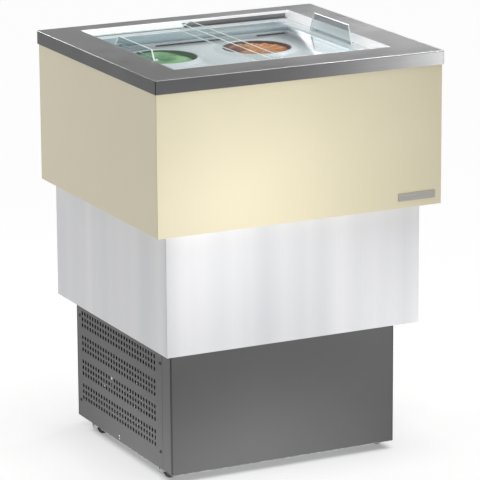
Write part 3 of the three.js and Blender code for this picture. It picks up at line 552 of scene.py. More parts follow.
def prism(bm, outline, thickness, place=Matrix()):
    """A flat outline given a thickness along its own +Z."""
    rings = [[bm.verts.new(place @ Vector((x, y, z))) for x, y in outline] for z in (0, thickness)]
    bridge(bm, rings)
    bm.faces.new(rings[0][::-1])
    bm.faces.new(rings[1])
    return bm


def slot_outline(width, height, steps=4):
    """A slot with round ends in four quarters, anticlockwise from the right. Its ends point up and down."""
    radius = width / 2
    lift = max(0.0, height / 2 - radius)
    quarters = []
    for quarter in range(4):
        centre = lift if quarter < 2 else -lift
        angles = [math.pi / 2 * (quarter + step / steps) for step in range(steps + 1)]
        quarters.append([(radius * math.cos(a), centre + radius * math.sin(a)) for a in angles])
    return quarters


def pierced_sheet(bm, us, vs, holes, place):
    """A sheet on a grid of lines, with holes in some cells.

    holes gives, by cell, None for a cell left out or an outline in quarters about the cell's middle."""
    grid = {(i, j): bm.verts.new(place(u, v)) for i, u in enumerate(us) for j, v in enumerate(vs)}
    for i in range(len(us) - 1):
        for j in range(len(vs) - 1):
            corners = [grid[i + 1, j + 1], grid[i, j + 1], grid[i, j], grid[i + 1, j]]
            if (i, j) not in holes:
                bm.faces.new(corners)
            elif holes[i, j]:
                middle = ((us[i] + us[i + 1]) / 2, (vs[j] + vs[j + 1]) / 2)
                pierced_cell(bm, corners, middle, holes[i, j], place)
    return bm


def cells_where(us, vs, test, hole=None):
    """The cells of a grid of lines whose middles pass a test, each with its hole."""
    cells = {}
    for i, (u0, u1) in enumerate(zip(us, us[1:])):
        for j, (v0, v1) in enumerate(zip(vs, vs[1:])):
            if test((u0 + u1) / 2, (v0 + v1) / 2):
                cells[i, j] = hole
    return cells


def pierced_cell(bm, corners, middle, quarters, place):
    """The faces between a cell's four corners and the outline of its hole."""
    rims = [
        [(round(middle[0] + x, 7), round(middle[1] + y, 7)) for x, y in quarter]
        for quarter in quarters
    ]
    made = {p: bm.verts.new(place(*p)) for p in dict.fromkeys(sum(rims, []))}
    for index, rim in enumerate(rims):
        corner = corners[index]
        following = corners[(index + 1) % 4]
        for first, second in zip(rim, rim[1:]):
            bm.faces.new([corner, made[second], made[first]])
        end, start = made[rim[-1]], made[rims[(index + 1) % 4][0]]
        shared = [corner, following, start] if end is start else [corner, following, start, end]
        bm.faces.new(shared)


def smooth_group():
    """A geometry node group that smooths a mesh, apart from its sharp edges, and drops its stored normals."""
    group = bpy.data.node_groups.new("smooth_but_sharp", "GeometryNodeTree")
    for way in ("INPUT", "OUTPUT"):
        group.interface.new_socket("Geometry", in_out=way, socket_type="NodeSocketGeometry")
    start = group.nodes.new("NodeGroupInput")
    end = group.nodes.new("NodeGroupOutput")
    drop = group.nodes.new("GeometryNodeRemoveAttribute")
    drop.inputs["Name"].default_value = "custom_normal"
    faces = group.nodes.new("GeometryNodeSetShadeSmooth")
    faces.domain = "FACE"
    edges = group.nodes.new("GeometryNodeSetShadeSmooth")
    edges.domain = "EDGE"
    angle = group.nodes.new("GeometryNodeInputMeshEdgeAngle")
    gentle = group.nodes.new("FunctionNodeCompare")
    gentle.operation = "LESS_THAN"
    gentle.inputs["B"].default_value = SMOOTH_BELOW
    for source, socket in (
        (start.outputs[0], drop.inputs["Geometry"]),
        (drop.outputs[0], faces.inputs["Geometry"]),
        (faces.outputs[0], edges.inputs["Geometry"]),
        (angle.outputs["Unsigned Angle"], gentle.inputs["A"]),
        (gentle.outputs[0], edges.inputs["Shade Smooth"]),
        (edges.outputs[0], end.inputs[0]),
    ):
        group.links.new(source, socket)
    return group


def add_bevel(piece, width, segments=3):
    bevel = piece.modifiers.new("bevel", "BEVEL")
    bevel.width = width
    bevel.segments = segments
    bevel.limit_method = "ANGLE"
    bevel.angle_limit = SMOOTH_BELOW
    bevel.use_clamp_overlap = True


def add_smoothing(piece):
    smooth = piece.modifiers.new("smooth", "NODES")
    smooth.node_group = SMOOTH
    weigh = piece.modifiers.new("weigh", "WEIGHTED_NORMAL")
    weigh.keep_sharp = True


def soften(node, width):
    """Rounds the edges of a CAD node with modifiers. Its own mesh stays as it is."""
    weld = node.modifiers.new("weld", "WELD")
    weld.merge_threshold = 1e-6
    flat = node.modifiers.new("flat", "DECIMATE")
    flat.decimate_type = "DISSOLVE"
    flat.angle_limit = math.radians(0.5)
    if width:
        add_bevel(node, width)
    add_smoothing(node)


def publish(name, bm, finish, body="cabinet", replaces=(), bevel=0.0, sheet=0.0, outward=None):
    """Makes a built mesh a piece that rides on a body. A sheet gets its thickness behind its outward side."""
    if outward is None:
        bmesh.ops.recalc_face_normals(bm, faces=bm.faces)
    else:
        bm.normal_update()
        facing = sum((f.normal * f.calc_area() for f in bm.faces), Vector())
        if facing.dot(Vector(outward)) < 0:
            bmesh.ops.reverse_faces(bm, faces=bm.faces)
    mesh = bpy.data.meshes.new(name)
    bm.to_mesh(mesh)
    bm.free()
    mesh.materials.append(FINISHES[finish])
    piece = bpy.data.objects.new(name, mesh)
    SCENE.collection.objects.link(piece)
    if sheet:
        solid = piece.modifiers.new("sheet", "SOLIDIFY")
        solid.thickness = sheet
        solid.offset = -1
        solid.use_even_offset = True
    if bevel:
        add_bevel(piece, bevel)
    add_smoothing(piece)
    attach(piece, body)
    if replaces:
        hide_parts(*replaces)
    return piece


# ---------------------------------------------------------------- fasteners

def cross_reach(angle, arm, half_width):
    """How far a cross recess reaches from its middle in one direction."""
    c = max(abs(math.cos(angle)), 1e-6)
    s = max(abs(math.sin(angle)), 1e-6)
    return max(min(arm / c, half_width / s), min(half_width / c, arm / s))


def screw(bm, point, axis, radius=4 * MM, spin=0.4):
    """A pan-head screw with a cross recess."""
    sides = 32
    height = radius * 0.55
    place = aimed(point, axis, spin)
    profile = [(radius, 0), (radius, height * 0.35), (radius * 0.9, height * 0.75), (radius * 0.7, height)]
    rings = [[bm.verts.new(place @ Vector((x, y, z))) for x, y in polygon(sides, r)] for r, z in profile]
    for depth in (height, height * 0.25):
        ring = []
        for a in turns(sides):
            reach = cross_reach(a, radius * 0.5, radius * 0.12)
            ring.append(bm.verts.new(place @ Vector((reach * math.cos(a), reach * math.sin(a), depth))))
        rings.append(ring)
    bridge(bm, rings)
    bm.faces.new(rings[-1])
    bm.faces.new(rings[0][::-1])


def rivet(bm, point, axis, radius, height):
    """A low domed head."""
    curve = [(radius * math.cos(a), height * math.sin(a)) for a in (math.pi / 12 * k for k in range(6))]
    profile = [(0, -0.2 * height), (radius, -0.2 * height), *curve, (0, height)]
    lathe(bm, profile, SMALL_ROUND, aimed(point, axis))


def hex_nut(bm, point, axis, across, height, bolt):
    """A nut with the end of its bolt standing out of it. bolt is the bolt's radius."""
    place = aimed(point, axis)
    prism(bm, polygon(6, across / math.sqrt(3)), height, place)
    end = height * 1.5
    lathe(bm, [(0, height), (bolt, height), (bolt * 0.8, end), (0, end)], SMALL_ROUND, place)


# ---------------------------------------------------------------- worktop

RIM_CORNER = 3 * MM          # radius of the rim's upright corners
RIM_EDGE = 2.4 * MM          # radius of the fold between the rim and the top
CORNER_TURNS = (0, 16, 32, 40, 50, 58, 74, 90)
SEAM_TURNS = (40, 50)        # where the open seam of a folded corner lies
SEAM_DEPTH = 1.6 * MM
HOLE_CORNER = 0.6 * MM


def corner_ring(bm, low, high, z, radius, seam_depth=0.0):
    """A rectangle of vertices with round corners at one height. Its corners can have a seam sunk in them."""
    ring = []
    middle = (low + high) / 2
    for quarter in range(4):
        side_x = 1 if quarter in (0, 3) else -1
        side_y = 1 if quarter in (0, 1) else -1
        half_x = (high.x - low.x) / 2 - radius
        half_y = (high.y - low.y) / 2 - radius
        for turn in CORNER_TURNS:
            a = math.radians(turn + 90 * quarter)
            reach = radius - (seam_depth if turn in SEAM_TURNS else 0.0)
            x = middle.x + side_x * half_x + reach * math.cos(a)
            y = middle.y + side_y * half_y + reach * math.sin(a)
            ring.append(bm.verts.new((x, y, z)))
    return ring


def worktop():
    """The folded sheet with its rounded edges, the open seams at its corners and the cut-out for the lids."""
    low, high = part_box("worktop")
    left_overlap, right_gap, channel_cover = 0.5 * MM, 3.5 * MM, 2 * MM
    left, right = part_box("upper_lid")[0].x + left_overlap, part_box("lower_lid")[1].x + right_gap
    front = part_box("lid_channel_front")[1].y - channel_cover
    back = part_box("lid_channel_rear")[0].y + channel_cover
    seam_end = high.z - RIM_EDGE
    bm = bmesh.new()
    rings = []
    for z, depth in ((low.z, SEAM_DEPTH), (seam_end - 0.5 * MM, SEAM_DEPTH), (seam_end, 0.0)):
        rings.append(corner_ring(bm, low, high, z, RIM_CORNER, depth))
    steps = 5
    for step in range(1, steps + 1):
        a = math.pi / 2 * step / steps
        inset = RIM_EDGE * (1 - math.cos(a))
        shift = Vector((inset, inset, 0))
        z = high.z - RIM_EDGE * (1 - math.sin(a))
        rings.append(corner_ring(bm, low + shift, high - shift, z, RIM_CORNER - inset))
    rings.append(corner_ring(bm, Vector((left, front, 0)), Vector((right, back, 0)), high.z, HOLE_CORNER))
    bridge(bm, rings)
    publish("worktop_sheet", bm, "stainless", replaces=["worktop"], sheet=2 * MM, outward=UP)


# ---------------------------------------------------------------- base panels

VENT = {
    "pitch": 16.6 * MM,
    "width": 9 * MM,
    "height": 11.5 * MM,
    "columns": 28,
    "groups": 4,
    "rows": 3,
    "low": 57 * MM,        # the lowest row's middle above the panel's bottom edge
    "back": 33 * MM,       # the rear column's middle from the panel's rear edge
}
STRIP = {"width": 47 * MM, "groove": 1.4 * MM, "depth": 1.6 * MM}
PANEL_SHEET = 1.4 * MM
PANEL_SCREW = 4.5 * MM       # the radius of a panel screw's head


def side_panel(side):
    """The box of a side panel, which way it faces along X, and where its outer face is."""
    low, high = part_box("base_" + side)
    return low, high, *((-1, low.x) if side == "left" else (1, high.x))


def side_grille(side):
    """A perforated side panel, with its folded edges and the corner strip at its front."""
    node = "base_" + side
    low, high, facing, face = side_panel(side)
    first = high.y - VENT["back"] + VENT["pitch"] / 2
    columns = [first - VENT["pitch"] * k for k in range(VENT["columns"], -1, -1)]
    seam = low.y + STRIP["width"]
    us = [low.y, seam - STRIP["groove"] / 2, seam + STRIP["groove"] / 2, *columns, high.y]
    row_count = VENT["groups"] * (VENT["rows"] + 1) - 1
    start = low.z + VENT["low"] - VENT["pitch"] / 2
    vs = [low.z, *[start + VENT["pitch"] * k for k in range(row_count + 1)], high.z]
    quarters = slot_outline(VENT["width"], VENT["height"])
    holes = {}
    for column in range(VENT["columns"]):
        for row in range(row_count):
            if row % (VENT["rows"] + 1) != VENT["rows"]:
                holes[column + 3, row + 1] = quarters
    bm = bmesh.new()
    pierced_sheet(bm, us, vs, holes, lambda u, v: Vector((face, u, v)))
    sink_groove(bm, seam, facing)
    fold_edges(bm, low, high, facing)
    publish(
        node + "_grille", bm, "grey_paint", replaces=[node],
        sheet=PANEL_SHEET, bevel=0.35 * MM, outward=RIGHT * facing,
    )


def sink_groove(bm, seam, facing):
    """Sets back the narrow strip between the corner strip and the grille."""
    bm.normal_update()
    strip = [f for f in bm.faces if abs(f.calc_center_median().y - seam) < STRIP["groove"] / 2]
    made = bmesh.ops.extrude_face_region(bm, geom=strip)
    bmesh.ops.delete(bm, geom=strip, context="FACES_ONLY")
    moved = [v for v in made["geom"] if isinstance(v, bmesh.types.BMVert)]
    bmesh.ops.translate(bm, verts=moved, vec=-RIGHT * facing * STRIP["depth"])


def fold_edges(bm, low, high, facing, depth=12 * MM, bottom=4 * MM):
    """Folds the sheet's outer edges inwards."""
    outline = [
        e for e in bm.edges
        if e.is_boundary and all(
            min(abs(v.co.y - low.y), abs(v.co.y - high.y), abs(v.co.z - low.z), abs(v.co.z - high.z)) < 1e-6
            for v in e.verts
        )
    ]
    made = bmesh.ops.extrude_edge_only(bm, edges=outline)
    for v in made["geom"]:
        if isinstance(v, bmesh.types.BMVert):
            v.co.x -= facing * (bottom if abs(v.co.z - low.z) < 1e-6 else depth)


def base_trim():
    """Bright zinc strips under the base panels as a painted highlight on their folded bottom edges, and dark
    strips at the ends of the front panel as painted shadow in the gaps at its corners.
    """
    low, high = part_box("base_front")
    drop, width, setback, end_gap, caster_gap = 1.6 * MM, 7 * MM, 0.5 * MM, 1 * MM, 4 * MM
    bottom, top = low.z - drop, low.z + drop
    # painted highlight: bright zinc strips stand in for light caught by the panels' folded bottom edges
    bright = bmesh.new()
    block(bright, (low.x + end_gap, low.y + setback, bottom), (high.x - end_gap, low.y + width, top))
    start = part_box("caster_bracket_front_left")[1].y + caster_gap
    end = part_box("caster_bracket_rear_left")[0].y - caster_gap
    for outer, inward in ((low.x, 1), (high.x, -1)):
        xs = sorted((outer + inward * setback, outer + inward * width))
        block(bright, (xs[0], start, bottom), (xs[1], end, top))
    publish("base_edges", bright, "zinc")
    joint, wide, deep = 0.8 * MM, 1 * MM, 0.5 * MM
    # painted shadow: dark strips stand in for the shade in the gaps at the front panel's ends
    painted_gap_shadows = bmesh.new()
    for x in (low.x + joint, high.x - joint):
        block(painted_gap_shadows, (x - wide, low.y - deep, low.z), (x + wide, low.y + deep, high.z))
    publish("base_joints", painted_gap_shadows, "black_plastic")


def side_screws(side):
    """The dark screws that hold the side panel, and the two small bright rivets low down in it."""
    low, high, facing, face = side_panel(side)
    dark = bmesh.new()
    from_strip, from_rear, from_bottom, from_top = 13 * MM, 14 * MM, 45 * MM, 51.5 * MM
    for y in (low.y + STRIP["width"] + from_strip, high.y - from_rear):
        for z in (low.z + from_bottom, high.z - from_top):
            screw(dark, (face, y, z), RIGHT * facing, PANEL_SCREW)
    publish(f"base_{side}_screws", dark, "black_enamel")
    bright = bmesh.new()
    rivet_pitch, rivets_from_front = 7 * MM, 314 * MM
    for row in (1, 2):
        place = (face, low.y + rivets_from_front, low.z + row * rivet_pitch)
        rivet(bright, place, RIGHT * facing, 2.2 * MM, 1.2 * MM)
    publish(f"base_{side}_rivets", bright, "zinc")


LOUVRE = {
    "rows": 9,
    "pitch": 22 * MM,
    "low": 60 * MM,        # the lowest row's middle above the panel's bottom edge
    "near": 10 * MM,       # from the panel's middle to the near end of a slot
    "far": 150 * MM,
    "height": 8 * MM,
    "rise": 5 * MM,
}


def service_panel():
    """The rear panel with pressed louvres and the holes for the controls and the cable."""
    low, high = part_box("base_rear")
    control_low, control_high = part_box("controller_panel")
    gland, face = middle_of("cable_gland"), high.y
    lap, gland_half, slot_half = 5 * MM, 12 * MM, LOUVRE["height"] / 2
    rows = [low.z + LOUVRE["low"] + LOUVRE["pitch"] * k for k in range(LOUVRE["rows"])]
    openings = [
        ((control_low.x + lap, control_high.x - lap), (control_low.z + lap, control_high.z - lap)),
        ((gland.x - gland_half, gland.x + gland_half), (gland.z - gland_half, gland.z + gland_half)),
    ]
    for z in rows:
        for xs in ((-LOUVRE["far"], -LOUVRE["near"]), (LOUVRE["near"], LOUVRE["far"])):
            openings.append((xs, (z - slot_half, z + slot_half)))
    us = sorted({low.x, high.x, *[x for xs, zs in openings for x in xs]})
    vs = sorted({low.z, high.z, *[z for xs, zs in openings for z in zs]})
    holes = cells_where(
        us, vs, lambda u, v: any(xs[0] < u < xs[1] and zs[0] < v < zs[1] for xs, zs in openings)
    )
    bm = bmesh.new()
    pierced_sheet(bm, us, vs, holes, lambda u, v: Vector((u, face, v)))
    for z in rows:
        for side in (-1, 1):
            louvre_hood(bm, side, z, face)
    publish("base_rear_panel", bm, "grey_paint", replaces=["base_rear"], sheet=PANEL_SHEET, outward=BACK)
    screws = bmesh.new()
    inset = 14 * MM
    for x in (low.x + inset, 0, high.x - inset):
        for z in (low.z + inset, high.z - inset):
            screw(screws, (x, face, z), BACK, PANEL_SCREW)
    publish("base_rear_screws", screws, "zinc")


def louvre_hood(bm, side, z, face):
    """A pressed hood over one slot. It grows out of the sheet at the top and sides and is open below."""
    along, around = 24, 6
    half = LOUVRE["height"] / 2
    start, end = LOUVRE["near"] * side, LOUVRE["far"] * side
    rings = []
    for i in range(along + 1):
        t = i / along
        end_fall = min(1.0, min(t, 1 - t) * along / 3)
        swell = math.sin(end_fall * math.pi / 2)
        ring = []
        for j in range(around + 1):
            a = math.pi / 2 * j / around
            out = LOUVRE["rise"] * math.sin(a) * swell
            height = z + half - 2 * half * (1 - math.cos(a))
            ring.append(bm.verts.new((start + (end - start) * t, face + out, height)))
        rings.append(ring)
    bridge(bm, rings, wrap=False)


# ---------------------------------------------------------------- well

TUBS = ("rear_left", "rear_right", "front_left", "front_right")
PLATE_PROFILE = [(111, 0), (110.4, 0.6), (96, 5.1), (94, 5.6), (92.2, 5.1), (91, 4), (91, -10)]   # mm
PLATE_RISE = 11 * MM         # how far the upstand stands above the plate's face


def tub_plate():
    """The plate with four raised collars, and the upstand round it with its grooves darkened by painted
    shade.
    """
    low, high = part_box("tub_plate")
    top = high.z - PLATE_RISE
    reach = PLATE_PROFILE[0][0] * MM
    cell = reach + 8 * MM
    centres = [middle_of("tub_" + name) for name in TUBS]
    x_lines = sorted({low.x, high.x, *[round(c.x + s * cell, 6) for c in centres for s in (-1, 1)]})
    y_lines = sorted({low.y, high.y, *[round(c.y + s * cell, 6) for c in centres for s in (-1, 1)]})
    steps = 24
    circle = slot_outline(2 * reach, 2 * reach, steps)
    holes = cells_where(
        x_lines, y_lines, lambda x, y: any((Vector((x, y)) - c.xy).length < 1 * MM for c in centres), circle
    )
    bm = bmesh.new()
    pierced_sheet(bm, x_lines, y_lines, holes, lambda u, v: Vector((u, v, top)))
    for centre in centres:
        place = Matrix.Translation((centre.x, centre.y, top))
        lathe(bm, in_mm(PLATE_PROFILE), 4 * steps, place)
    bmesh.ops.remove_doubles(bm, verts=bm.verts, dist=2e-6)
    publish("tub_plate_face", bm, "plate_plastic", replaces=["tub_plate"], sheet=1.5 * MM, outward=UP)
    upstand(low, high, top)


def upstand(low, high, top):
    """The rim of the plate. Its front and rear bars have grooves between plain pads, with dark sheets at the
    backs of the grooves as painted shade.
    """
    thick = 14 * MM
    pad = (95 * MM, 201 * MM)
    groove_low, groove_high, groove_depth = top + 3 * MM, top + 8 * MM, 7 * MM
    bm = bmesh.new()
    for end, inner in ((low.y, low.y + thick), (high.y, high.y - thick)):
        back = inner + (groove_depth if end > inner else -groove_depth)
        bars = [
            ((low.x, high.x), (end, inner), (top, groove_low)),
            ((low.x, high.x), (end, inner), (groove_high, high.z)),
            ((low.x, high.x), (end, back), (groove_low, groove_high)),
            ((-pad[1], -pad[0]), (back, inner), (groove_low, groove_high)),
            ((pad[0], pad[1]), (back, inner), (groove_low, groove_high)),
        ]
        for xs, ys, zs in bars:
            block(bm, (xs[0], min(ys), zs[0]), (xs[1], max(ys), zs[1]))
    for end, inner in ((low.x, low.x + thick), (high.x, high.x - thick)):
        block(bm, (min(end, inner), low.y + thick, top), (max(end, inner), high.y - thick, high.z))
    publish("tub_plate_upstand", bm, "plate_plastic", replaces=["tub_plate"])
    # painted shade: dark sheets at the backs of the grooves
    shade = bmesh.new()
    for inner, facing in ((low.y + thick, -1), (high.y - thick, 1)):
        for xs in ((low.x + thick, -pad[1]), (-pad[0], pad[0]), (pad[1], high.x - thick)):
            depth = inner + facing * (groove_depth - 0.5 * MM)
            ys = sorted((depth, depth + facing * 0.4 * MM))
            block(shade, (xs[0], ys[0], groove_low), (xs[1], ys[1], groove_high))
    publish("tub_plate_groove_liner", shade, "frame_paint")


def tubs():
    for name in TUBS:
        node = "tub_" + name
        low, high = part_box(node)
        centre = middle_of(node)
        rim = (high.x - low.x) / 2
        height = high.z - low.z
        foot, mouth, wall, floor, lip = rim - 10 * MM, rim - 4 * MM, 2 * MM, 2.5 * MM, 8 * MM
        profile = [(0, 0), (foot, 0), (mouth, height - lip), (rim, height - lip), (rim, height)]
        profile += [(mouth - wall, height), (foot - wall, floor), (0, floor)]
        place = Matrix.Translation((centre.x, centre.y, low.z))
        bm = lathe(bmesh.new(), rounded_profile(profile, 2 * MM, 4), ROUND, place)
        publish(node + "_shell", bm, "tub_plastic", replaces=[node])


def bowl(x, y, cx, cy, radius, depth):
    """One scoop mark: a round hollow with a soft lip."""
    d = math.hypot(x - cx, y - cy) / radius
    if d >= 1.25:
        return 0.0
    if d <= 1.0:
        return -depth * (1 - d * d)
    return depth * 0.12 * math.sin((d - 1) / 0.25 * math.pi)


def swirled(x, y):
    """Paddled smooth in a turning sweep, with a dimple at the middle."""
    r, a = math.hypot(x, y), math.atan2(y, x)
    sweep = math.sin(2 * a + 5.5 * r + 0.6 * noise.noise(Vector((x, y, 0)) * 2))
    return 0.09 * sweep * min(1.0, r * 2) - 0.16 * math.exp(-(r / 0.28) ** 2) - 0.10 * r ** 4


def scraped(x, y):
    """Scraped in long passes that leave thin crests, and dug away at the left."""
    turn = math.radians(-28)
    u = x * math.cos(turn) - y * math.sin(turn)
    v = x * math.sin(turn) + y * math.cos(turn)
    wander = 0.22 * noise.noise(Vector((u * 1.6, v * 0.8, 3.1)))
    phase = (v + wander) / 0.34
    crest = 1 - 2 * abs(phase - math.floor(phase) - 0.5)
    pass_depth = -0.17 * math.sin(math.pi * min(1.0, crest * 1.15)) ** 1.4
    dug = bowl(x, y, -0.62, 0.28, 0.5, 0.26)
    return 0.06 + pass_depth + dug - 0.10 * (x * x + y * y) ** 2


def scooped(x, y):
    """Four scoop marks: the place of each one's middle, its radius and its depth."""
    marks = (
        (0.3, 0.25, 0.5, 0.30),
        (-0.35, 0.35, 0.45, 0.24),
        (-0.1, -0.45, 0.5, 0.27),
        (0.55, -0.3, 0.36, 0.2),
    )
    return 0.05 + sum(bowl(x, y, *mark) for mark in marks)


def curled(x, y):
    """Two deep curls left by a spade, over a low mound."""
    first = bowl(x * 0.75 + y * 0.2, y, 0.1, 0.3, 0.45, 0.30)
    second = bowl(x * 0.7 - y * 0.3, y, -0.05, -0.4, 0.42, 0.26)
    return 0.06 + first + second - 0.06 * (x * x + y * y)


SURFACES = {"rear_left": swirled, "rear_right": scraped, "front_left": scooped, "front_right": curled}


def ice_cream(name, finish):
    """The frozen filling of one tub. Its crown is shaped by a function over the unit disc."""
    node = "ice_cream_" + name
    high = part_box(node)[1]
    centre = middle_of(node)
    tub_low, tub_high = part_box("tub_" + name)
    shape = SURFACES[name]
    rings_out, sides = 44, 132
    crown_radius = (tub_high.x - tub_low.x) / 2 - 8 * MM
    rim_start = 0.95         # where the smear up the tub's wall begins, as a share of the radius
    sink = 4.5 * MM
    bm = bmesh.new()
    layer = bm.verts.layers.float.new("hollow")

    def point(r, a):
        x, y = r * math.cos(a), r * math.sin(a)
        spot = Vector((x, y, centre.x * 9))
        relief = shape(x, y) + 0.022 * noise.fractal(spot * 4, 1.0, 2.0, 4) + 0.008 * noise.noise(spot * 22)
        height = min(high.z, high.z - 2 * MM + relief * crown_radius * 0.6 - sink * r ** 8)
        smear = max(0.0, (r - rim_start) / (1 - rim_start))
        height += (high.z - height) * smear ** 2
        vert = bm.verts.new((centre.x + x * crown_radius, centre.y + y * crown_radius, height))
        # painted shade: darker in the hollows, towards the rim and up the tub's wall
        vert[layer] = max(0.0, min(1.0, 0.3 - relief * 3.4 + 0.25 * r ** 6 + 0.7 * smear))
        return vert

    rings = [[point(0, 0)]]
    for k in range(1, rings_out + 1):
        r = (k / rings_out) ** 0.85
        rings.append([point(r, a) for a in turns(sides)])
    deep = tub_low.z + 4 * MM
    for radius, z in ((crown_radius + 0.4 * MM, high.z - 24 * MM), (crown_radius - 8 * MM, deep)):
        rings.append([
            bm.verts.new((centre.x + radius * math.cos(a), centre.y + radius * math.sin(a), z))
            for a in turns(sides)
        ])
    rings.append([bm.verts.new((centre.x, centre.y, deep))])
    bridge(bm, rings)
    publish(node + "_surface", bm, finish, replaces=[node])


# ---------------------------------------------------------------- lids

def clear_part(node, body):
    """A clear CAD part as a piece of its own, with the narrow faces of its cut edges marked."""
    cut_width = 6 * MM
    bm = bmesh.new()
    bm.from_mesh(frame["nodes"][node].data)
    bmesh.ops.remove_doubles(bm, verts=bm.verts, dist=1e-6)
    bmesh.ops.dissolve_limit(bm, angle_limit=math.radians(0.5), verts=bm.verts, edges=bm.edges)
    layer = bm.faces.layers.float.new("cut")
    for face in bm.faces:
        longest = max(e.calc_length() for e in face.edges)
        face[layer] = 1.0 if face.calc_area() / longest < cut_width else 0.0
    finish = "lid_glass" if node.endswith("_lid") else "clear_acrylic"
    publish(node + "_clear", bm, finish, body=body, replaces=[node], bevel=0.5 * MM)


def lid_fold():
    """The rounded ridge along the bend of the upper lid's lip. It glows as the cut edges do: a painted
    highlight along the bend.
    """
    low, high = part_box("upper_lid")
    lip_out, glass, inset = 20 * MM, 4 * MM, 11 * MM
    x, z = high.x - lip_out, low.z + glass - 0.4 * MM
    bm = tube(bmesh.new(), [(x, low.y + inset, z), (x, high.y - inset, z)], 0.9 * MM)
    layer = bm.faces.layers.float.new("cut")
    for face in bm.faces:
        face[layer] = 1.0
    publish("upper_lid_fold", bm, "clear_acrylic", body="upper_lid")


def handle_screws(node, body):
    """Small domed nuts through the foot of a lid's handle, two at each end."""
    low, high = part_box(node)
    foot_top = low.z + 3 * MM
    x = high.x - 6 * MM
    bm = bmesh.new()
    for y in (low.y + 12 * MM, low.y + 26 * MM, high.y - 26 * MM, high.y - 12 * MM):
        rivet(bm, (x, y, foot_top), UP, 3 * MM, 1.8 * MM)
    publish(node + "_nuts", bm, "button_metal", body=body)


# ---------------------------------------------------------------- casters

CORNERS = ("front_left", "rear_left", "front_right", "rear_right")


def caster_wheel(corner):
    node = "caster_wheel_" + corner
    low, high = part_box(node)
    centre = (low + high) / 2
    radius, half = (high.z - low.z) / 2, (high.x - low.x) / 2
    bore, hub = 4.4 * MM, 10 * MM
    tread = [(bore, half), (hub, half), (hub + 1.5 * MM, half - 2.5 * MM), (radius - 6 * MM, half - 2.5 * MM)]
    tread += [(radius - 4.5 * MM, half - 0.5 * MM), (radius - 2 * MM, half - 1 * MM), (radius, half - 5 * MM)]
    profile = [*tread, *[(r, -h) for r, h in reversed(tread)]]
    closed = rounded_profile(profile, 1 * MM, 3, closed=True)
    closed.append(closed[0])
    bm = lathe(bmesh.new(), closed, 64, aimed(centre, RIGHT))
    bmesh.ops.remove_doubles(bm, verts=bm.verts, dist=1e-7)
    publish(node + "_tyre", bm, "wheel_rubber", body="wheel_" + corner, replaces=[node])


def caster_details(corner):
    """The peened axle ends and the rivets that hold the caster's bracket."""
    low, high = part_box("caster_bracket_" + corner)
    axle = middle_of("caster_wheel_" + corner)
    bm = bmesh.new()
    for x, axis in ((low.x, -RIGHT), (high.x, RIGHT)):
        rivet(bm, (x, axle.y, axle.z), axis, 5.5 * MM, 1.6 * MM)
        rivet(bm, (x, high.y - 11 * MM, low.z + 12 * MM), axis, 3.4 * MM, 1.3 * MM)
    publish(f"caster_rivets_{corner}", bm, "frame_paint")


# ---------------------------------------------------------------- refrigeration set

FOOT = {"across": 85 * MM, "deep": 58 * MM, "corner": 12 * MM, "thick": 4 * MM}   # across, deep: half sizes


def compressor():
    """A welded shell on a foot plate, with its terminal cover, and the grommets and bolts that hold it."""
    low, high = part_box("compressor")
    place = Matrix.Translation((low.x + FOOT["across"], high.y - FOOT["deep"], low.z))
    compressor_shell(high.z - low.z, place)
    across, deep, thick = FOOT["across"], FOOT["deep"], FOOT["thick"]
    corners = [(-across, -deep), (across, -deep), (across, deep), (-across, deep)]
    feet = prism(bmesh.new(), rounded_profile(corners, FOOT["corner"], 6, closed=True), thick, place)
    block(feet, (-24 * MM, -82 * MM, 50 * MM), (24 * MM, -54 * MM, 104 * MM), place)
    publish("compressor_foot_and_cover", feet, "black_enamel", replaces=["compressor"], bevel=1.2 * MM)
    collar = in_mm([(0, 0), (9, 0), (9, 3), (7, 4.5), (7, 7), (9, 8.5), (9, 11), (0, 11)])
    collar_height = collar[-1][1]
    grommets, bolts = bmesh.new(), bmesh.new()
    for x in (-70 * MM, 70 * MM):
        for y in (-44 * MM, 44 * MM):
            lathe(grommets, collar, SMALL_ROUND, Matrix.Translation(place @ Vector((x, y, thick))))
            top = place @ Vector((x, y, thick + collar_height))
            hex_nut(bolts, top, UP, 10 * MM, 5 * MM, 3 * MM)
    publish("compressor_grommets", grommets, "wheel_rubber")
    publish("compressor_bolts", bolts, "zinc")


def compressor_shell(height, place):
    """Two drawn cups with a welded flange where they meet."""
    radius, seam = 64 * MM, height * 0.52
    wall = radius - 1.5 * MM
    profile = [
        (0, 8 * MM), (radius * 0.72, 9 * MM), (radius * 0.95, 22 * MM), (wall, 40 * MM),
        (wall, seam - 3 * MM), (radius, seam - 2 * MM), (radius, seam + 2 * MM), (wall, seam + 3 * MM),
        (wall, height * 0.72), (radius * 0.93, height * 0.85), (radius * 0.68, height * 0.95),
        (radius * 0.3, height), (0, height),
    ]
    bm = lathe(bmesh.new(), rounded_profile(profile, 9 * MM), ROUND, place)
    publish("compressor_shell", bm, "black_enamel", replaces=["compressor"])


